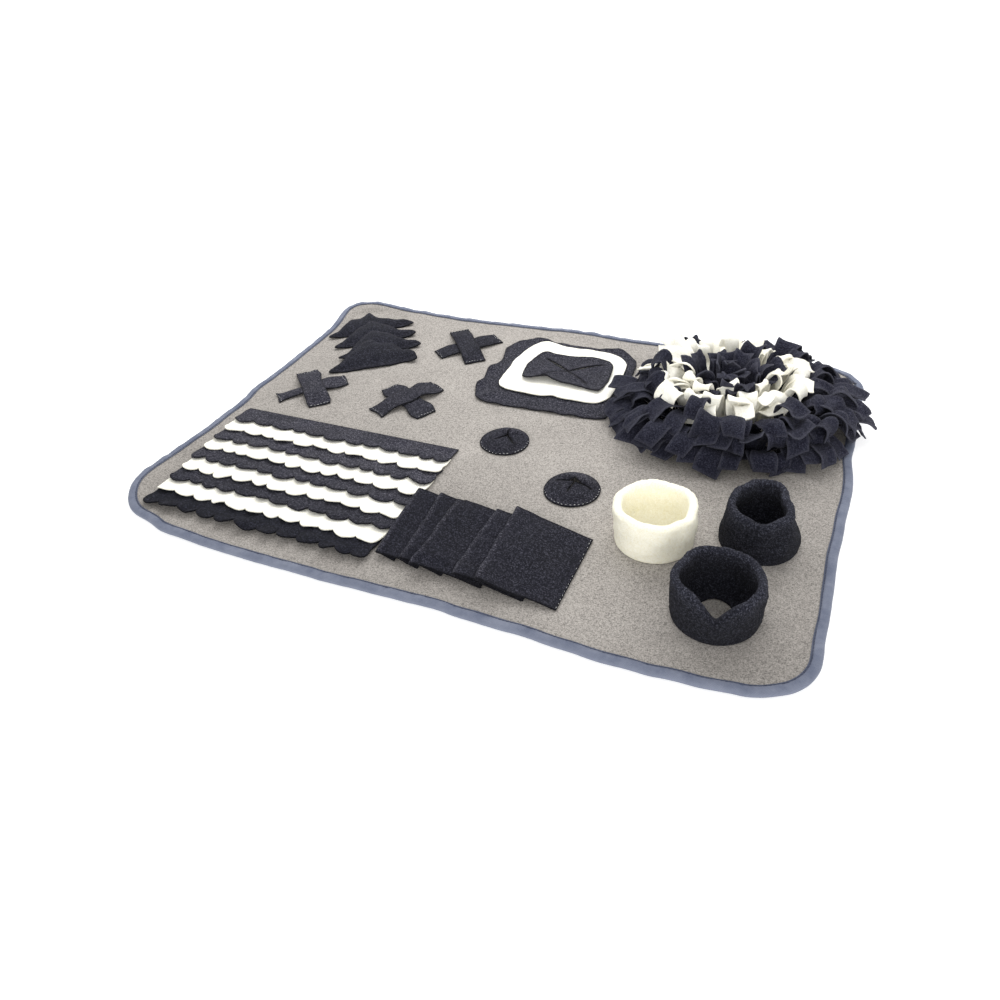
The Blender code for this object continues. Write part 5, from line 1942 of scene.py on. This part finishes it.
def make_cup(index, cup):
    """The double wall, carried round an oval, dented at the rim and softly buckled."""
    dice = np.random.default_rng(740 + index)
    degrees = np.linspace(0.0, 360.0, CUP_COLUMNS, endpoint=False)
    unit = pointing(degrees)
    inward, down = dented(cup, degrees)
    inward = inward + 0.8 * uneven(unit[:, 0] * 30.0, unit[:, 1] * 30.0, 30.0, 700 + index)
    down = down + 0.7 * uneven(unit[:, 0] * 30.0, unit[:, 1] * 30.0, 26.0, 710 + index)
    top = cup.height - CUP_FLEECE / 2 - down
    rows = []
    for across, height, face in cup_profile(cup, top):
        share = soft_step((height - SEWN) / (top - SEWN))
        buckle_x = uneven(unit[:, 0] * CUP_GIRTH, height + unit[:, 1] * CUP_GIRTH, 22.0, 720 + index)
        buckle_y = uneven(unit[:, 1] * CUP_GIRTH, height * 0.8 - unit[:, 0] * CUP_GIRTH, 34.0, 730 + index)
        soft = (CUP_BUCKLE[0] * buckle_x + CUP_BUCKLE[1] * buckle_y) * soft_step((height - SEWN) / 8.0)
        arch = np.sin(math.pi * np.clip((height - SEWN) / (top - SEWN), 0.0, 1.0))
        belly = CUP_BELLY * arch * max(face, 0.0)
        fuller = CUP_RIM_FULLNESS * bump(height - top + 2.0, 4.0) * face * 0.5
        reach_x, reach_y = [
            base + (rim - base) * share - inward * share + across + soft + belly + fuller
            for base, rim in ((cup.base_x, cup.rim_x), (cup.base_y, cup.rim_y))
        ]
        fuzz = dice.normal(0.0, CUP_FUZZ, CUP_COLUMNS) * soft_step((height - SEWN - 3.0) / 3.0)
        x = cup.x + (reach_x + fuzz - CUP_FLEECE / 2) * unit[:, 0]
        y = cup.y + (reach_y + fuzz - CUP_FLEECE / 2) * unit[:, 1] + cup.shift_y * share
        lumps = CUP_LUMPS * np.maximum(uneven(x, y, 15.0, 750 + index), -0.1) if face < 0.0 else 0.0
        flat = soft_step((SEWN + 12.0 - height) / 8.0)
        rows.append(np.column_stack([x, y, height + lumps * flat + 0.4 * fuzz]))
    grid = np.array(rows)[::-1]
    piece = make_grid_piece(cup.name + "_cloth", grid, CUP_FLEECE, CUP_CLOTH[cup.cloth], wrap=True)
    # Painted light: the upper wall and the rim painted lighter, a painted highlight that fades downwards.
    paint_light(piece, 1.2 * soft_step((grid[:, :, 2] / cup.height - 0.62) / 0.5))
    settle(piece, cup.name)


for index, cup in enumerate(CUPS):
    make_cup(index, cup)

# %% [markdown]
# ## The ruffle
#
# The ruffle is seven rings of tabs, one inside the other: three dark ones, two cream ones and a dark
# centre of two. A ring is one strip of fleece, cut into tabs and gathered. Its tabs bend up and outwards.
# Some tab shapes are drawn for each ring, each with its own curl, cupping and twist, and a
# Geometry Nodes tree puts one on each point of a ring of points, turned and sized by that point's own
# numbers. So the tabs look alike, as cut from one pattern, and no two lie alike.

# %% The rings
RUFFLE_CENTRE = (205.0, 119.0)
RUFFLE_FLEECE = 1.6
RING_BAND = 6.0
# The first three tables have a row for each ring, from the outside in. SPREADS says which ring, from 0.
RINGS = table(
    "name cloth tabs root_r bend_r bend_z tip_r tip_z tip_width",
    ("ruffle_ring_1", "charcoal_fleece", 42, 84.0, 103.0, 16.0, 125.0, 7.0, 23.0),
    ("ruffle_ring_2", "charcoal_fleece", 42, 73.0, 94.0, 31.0, 117.0, 22.0, 22.0),
    ("ruffle_ring_3", "charcoal_fleece", 36, 61.0, 80.0, 43.0, 104.0, 36.0, 22.0),
    ("ruffle_ring_cream_1", "cream_fleece", 30, 48.0, 62.0, 43.0, 82.0, 43.0, 20.0),
    ("ruffle_ring_cream_2", "cream_fleece", 22, 37.0, 47.0, 45.0, 62.0, 50.0, 20.0),
    ("ruffle_ring_centre_1", "charcoal_fleece", 17, 26.0, 31.0, 43.0, 41.0, 51.0, 21.0),
    ("ruffle_ring_centre_2", "charcoal_fleece", 11, 14.0, 15.0, 41.0, 20.0, 53.0, 20.0),
)
TAB_STYLES = table(
    "curl curl_spread cup wave twist lean kink ear",
    (-2.0, 22.0, 1.8, 12.0, 18.0, 10.0, 24.0, 5.0),
    (0.0, 30.0, 2.4, 18.0, 26.0, 13.0, 44.0, 7.0),
    (2.0, 34.0, 2.6, 20.0, 30.0, 14.0, 52.0, 8.0),
    (0.0, 42.0, 2.8, 26.0, 32.0, 13.0, 70.0, 9.0),
    (0.0, 46.0, 2.8, 28.0, 34.0, 11.0, 70.0, 9.0),
    (0.0, 36.0, 2.4, 16.0, 34.0, 12.0, 40.0, 8.0),
    (0.0, 36.0, 2.2, 16.0, 34.0, 9.0, 40.0, 8.0),
)
SEATS = table(
    "shift_x shift_y up down far_down",
    (0.0, 0.0, 0.10, 0.04, 0.10),
    (-1.0, 0.0, 0.24, 0.12, 0.42),
    (-4.0, 0.0, 0.24, 0.16, 0.56),
    (-13.0, -2.0, 0.16, 0.16, 0.26),
    (-13.0, -1.0, 0.16, 0.20, 0.22),
    (-10.0, 0.0, 0.14, 0.22, 0.12),
    (-9.0, 0.0, 0.20, 0.28, 0.0),
)
SPREADS = table(
    "ring degrees reach longer",
    (0, -136.0, 34.0, 0.45),
    (0, 8.0, 35.0, 0.12),
    (0, -72.0, 18.0, -0.12),
    (1, -136.0, 34.0, 0.35),
    (1, 10.0, 35.0, 0.10),
    (1, 160.0, 32.0, -0.30),
    (2, 160.0, 40.0, -0.34),
    (2, 90.0, 40.0, -0.15),
    (3, 175.0, 40.0, 0.25),
    (3, 330.0, 40.0, -0.15),
    (4, 180.0, 45.0, 0.15),
    (4, 5.0, 50.0, -0.10),
)
TAB_SHAPES = 14
TAB_SPACING = 2.5
FAR_SIDE = 88.0
FAR_REACH = 75.0
# Painted light on the ruffle's right side and at its centre.
RUFFLE_PAINTED_LIGHT = table(SPOT, (310.0, 150.0, 85.0, 0.4), (*RUFFLE_CENTRE, 30.0, 0.3))
RING_SCATTER = 2.5
RING_JITTER = {"Yaw": 0.24, "Roll": 0.12, "Size": 0.10}
TAB_ROOT_SHARE = 0.96
TAB_LINE_POINTS = 60
# The dark rings take the ruffle's lighter copy of the charcoal: painted light, with a painted highlight at
# every cut edge.
RUFFLE_CLOTH = {"charcoal_fleece": ruffle_fleece, "cream_fleece": cream_fleece}


# %% One tab
def tab_midline(ring, style, dice):
    """The tab's line from its root, up and out to its tip: x, z, slope, places along it and length."""
    share = np.linspace(0.0, 1.0, TAB_LINE_POINTS)
    bend = np.array([ring.bend_r - ring.root_r, ring.bend_z])
    tip = np.array([ring.tip_r - ring.root_r, ring.tip_z])
    pull = 2.0 * bend - 0.5 * tip
    path = 2.0 * (share * (1.0 - share))[:, None] * pull + (share**2)[:, None] * tip
    step = np.diff(path, axis=0)
    length = np.linalg.norm(step, axis=1)
    angle = np.unwrap(np.arctan2(step[:, 1], step[:, 0]))
    middle = (share[1:] + share[:-1]) / 2.0
    curl = math.radians(style.curl + dice.uniform(-style.curl_spread, style.curl_spread))
    wave = math.radians(style.wave * dice.uniform(0.4, 1.6))
    wave = wave * np.sin(middle * 2.0 * math.pi * dice.uniform(0.8, 1.5) + dice.uniform(0.0, 6.0))
    angle = angle + curl * soft_step((middle - 0.55) / 0.45) + wave * soft_step(middle / 0.3)
    kink = math.radians(style.kink * dice.uniform(-1.0, 0.5))
    angle = angle + kink * soft_step((middle - dice.uniform(0.45, 0.85)) / 0.08)
    places, x, z = [
        np.concatenate([[0.0], np.cumsum(length * way)]) for way in (1.0, np.cos(angle), np.sin(angle))
    ]
    travelled = stations(places[-1], TAB_SPACING)
    line = np.column_stack([x, z, np.concatenate([angle[:1], angle])])
    mid_x, mid_z, slope = read_off(travelled, places, line).T
    return mid_x, mid_z, slope, travelled, places[-1]


def tab_shape(ring, style, seed):
    """One tab as a thick sheet, its root on the ring's circle and its width across Y."""
    dice = np.random.default_rng(seed)
    mid_x, mid_z, slope, travelled, length = tab_midline(ring, style, dice)
    across = (stations(ring.tip_width, TAB_SPACING) / ring.tip_width - 0.5)[None, :]
    tip_width = ring.tip_width * dice.uniform(0.78, 1.12)
    share = (travelled / length)[:, None]
    root_width = 2.0 * ring.root_r * math.sin(math.pi / ring.tabs) * TAB_ROOT_SHARE
    edge = 0.8 * uneven(travelled, 0.0, 20.0, seed + 1)[:, None]
    width = root_width + (tip_width - root_width) * soft_step(share * 1.3)
    corner = 0.7 * soft_step((share - 0.97) / 0.03)
    half = (width / 2.0 + edge * share - corner * 0.5) * 2.0 * across
    tip_skew = dice.uniform(-0.20, 0.20)
    tip_round = dice.uniform(-0.4, 0.5)
    forward = (tip_skew * half - tip_round * (2.0 * across) ** 4) * soft_step((share - 0.6) / 0.4)
    twist = math.radians(style.twist * dice.uniform(-1.0, 1.0)) * share**1.4
    cup_depth = style.cup * dice.uniform(0.2, 1.3) * dice.choice([-1.0, 1.0], p=[0.3, 0.7])
    fold = dice.choice([1.0, 1.0, 2.0])
    cup = cup_depth * (np.abs(2.0 * across) ** fold - 0.4) * soft_step(share / 0.25)
    ripple = uneven(travelled[:, None], half, 14.0, seed + 2) * share
    lean = style.lean * dice.uniform(-1.0, 1.0) * share**2
    level = np.zeros_like(slope)
    along = np.stack([np.cos(slope), level, np.sin(slope)], axis=1)[:, None, :]
    facing = np.stack([-np.sin(slope), level, np.cos(slope)], axis=1)[:, None, :]
    sideways = np.array([0.0, 1.0, 0.0])
    out = (half * np.cos(twist) + lean)[:, :, None] * sideways
    ear = share + 0.9 * dice.choice([-1.0, 1.0]) * across - dice.uniform(0.82, 1.15)
    ear = style.ear * dice.uniform(-0.5, 1.0) * np.maximum(ear, 0.0)
    rise = (half * np.sin(twist) + cup + ripple + ear)[:, :, None] * facing
    middle = np.stack([mid_x, level, mid_z], axis=1)[:, None, :]
    grid = middle + out + rise + forward[:, :, None] * along
    faces = grid_faces(grid.shape[0], grid.shape[1])
    border = np.minimum(from_edges(grid, 1), (length - travelled)[:, None])
    return thick_sheet(grid.reshape(-1, 3), faces, border.ravel(), RUFFLE_FLEECE), length * ring.tip_width


# %% The ring tree
RING_INPUTS = (
    ("Ring", "Geometry", None),
    ("Tabs", "Collection", None),
    ("Yaw", "Float", 0.12),
    ("Roll", "Float", 0.18),
    ("Size", "Float", 0.07),
    ("Seed", "Int", 1),
    ("Cloth", "Material", None),
)


def make_ring_tree():
    """Put a tab on each point of a ring, turned and sized by the point's own numbers."""
    tree, given, outgoing = new_tree("ring of tabs", "Geometry", RING_INPUTS, [("Ruffle", "Geometry")])
    points = flow(tree, "GeometryNodeMeshToPoints", {"Mesh": given["Ring"]})
    apart = {"Collection": given["Tabs"], "Separate Children": True, "Reset Children": True}
    shapes = flow(tree, "GeometryNodeCollectionInfo", apart)
    choice = {4: 0, 5: TAB_SHAPES - 1, "Seed": given["Seed"]}
    pick = flow(tree, "FunctionNodeRandomValue", choice, 2, data_type="INT")

    def own(name):
        return flow(tree, "GeometryNodeInputNamedAttribute", {"Name": name}, "Attribute", data_type="FLOAT")

    def dice(name, offset):
        return jitter(tree, given[name], calculate(tree, "ADD", given["Seed"], float(offset)))

    heading = calculate(tree, "ADD", own("azimuth"), dice("Yaw", 11))
    about_up = flow(tree, "ShaderNodeCombineXYZ", {"Z": heading})
    tilt = flow(tree, "ShaderNodeCombineXYZ", {"X": dice("Roll", 23), "Y": own("tilt")})
    turning = {"Rotation": about_up, "Rotate By": tilt}
    bigger = calculate(tree, "ADD", dice("Size", 51), 1.0)
    longer = calculate(tree, "MULTIPLY", bigger, own("reach"))
    placed = {
        "Pick Instance": True,
        "Points": points,
        "Instance": shapes,
        "Instance Index": pick,
        "Rotation": flow(tree, "FunctionNodeRotateRotation", turning, rotation_space="LOCAL"),
        "Scale": flow(tree, "ShaderNodeCombineXYZ", {"X": longer, "Y": bigger, "Z": bigger}),
    }
    copies = flow(tree, "GeometryNodeInstanceOnPoints", placed)
    real = flow(tree, "GeometryNodeRealizeInstances", {"Geometry": copies})
    finished = flow(tree, "GeometryNodeSetMaterial", {"Geometry": real, "Material": given["Cloth"]})
    tree.links.new(finished, outgoing.inputs["Ruffle"])
    return tree


RING_TREE = make_ring_tree()
print("ring tree:", len(RING_TREE.nodes), "nodes")


# %% Build the rings
def spread_share(index, turns):
    """How much further out a ring's tabs reach at each angle."""
    longer = np.zeros(len(turns))
    for spread in SPREADS:
        if spread.ring == index:
            longer += spread.longer * bump(angle_between(turns, spread.degrees), spread.reach)
    return longer


def ring_carrier(index, ring):
    """One point per tab, with its direction and its extra reach."""
    dice = np.random.default_rng(800 + index)
    step = 360.0 / ring.tabs
    turns = step * (np.arange(ring.tabs) + dice.uniform(0.0, 1.0))
    turns = turns + dice.uniform(-0.28, 0.28, ring.tabs) * step
    reach = 1.0 + spread_share(index, turns)
    place = np.array(RUFFLE_CENTRE) + ring.root_r * pointing(turns)
    place = place + dice.uniform(-RING_SCATTER, RING_SCATTER, (ring.tabs, 1)) * pointing(turns)
    seat = SEATS[index]
    place = place + (seat.shift_x, seat.shift_y)
    from_far = angle_between(turns, FAR_SIDE)
    tilts = dice.uniform(-seat.up, seat.down, ring.tabs) + seat.far_down * bump(from_far, FAR_REACH)
    height = np.full(ring.tabs, SEWN + RUFFLE_FLEECE / 2)
    mesh = bpy.data.meshes.new(ring.name + "_points")
    mesh.from_pydata((np.column_stack([place, height]) * MM).tolist(), [], [])
    for key, values in (("azimuth", np.radians(turns)), ("reach", reach), ("tilt", tilts)):
        write_attribute(mesh, key, values)
    return place_object(ring.name + "_points", mesh)


def join_band(made, ring, seat):
    """Add the sewn band under the tabs' roots to the ring's own mesh."""
    turns = np.linspace(0.0, 360.0, 90, endpoint=False)
    rows = []
    for radius in (ring.root_r - RING_BAND, ring.root_r - RING_BAND / 2, ring.root_r + 1.5):
        place = np.array(RUFFLE_CENTRE) + radius * pointing(turns)
        place = place + (seat.shift_x, seat.shift_y)
        rows.append(np.column_stack([place, np.full(len(turns), SEWN + RUFFLE_FLEECE / 2)]))
    cloth = made.data.materials[0]
    band = make_grid_piece(ring.name + "_band", np.array(rows), RUFFLE_FLEECE, cloth, wrap=True)
    with bpy.context.temp_override(active_object=made, selected_editable_objects=[made, band]):
        bpy.ops.object.join()


def make_ring(index, ring):
    """Draw the ring's tab shapes, put them round it, and keep one plain mesh."""
    cloth = RUFFLE_CLOTH[ring.cloth]
    shapes = bpy.data.collections.new(ring.name + "_tabs")
    bpy.context.scene.collection.children.link(shapes)
    for shape in range(TAB_SHAPES):
        sheet, area = tab_shape(ring, TAB_STYLES[index], 900 + 40 * index + shape)
        piece = plain_object(f"{ring.name}_tab_{shape}", *sheet[:2], cloth, {"cut_edge": sheet[2]})
        bpy.context.scene.collection.objects.unlink(piece)
        shapes.objects.link(piece)
    carrier = ring_carrier(index, ring)
    values = {"Tabs": shapes, "Seed": 60 + index, "Cloth": cloth, **RING_JITTER}
    made = grow(ring.name + "_cloth", carrier, RING_TREE, values)
    for piece in list(shapes.objects):
        bpy.data.objects.remove(piece, do_unlink=True)
    bpy.data.collections.remove(shapes)
    join_band(made, ring, SEATS[index])
    x, y, z = np.array([corner.co for corner in made.data.vertices]).T / MM
    # Painted light on the ring, from the table.
    paint_light(made, spots_on(x, y, RUFFLE_PAINTED_LIGHT))
    settle(made, ring.name)


for index, ring in enumerate(RINGS):
    make_ring(index, ring)
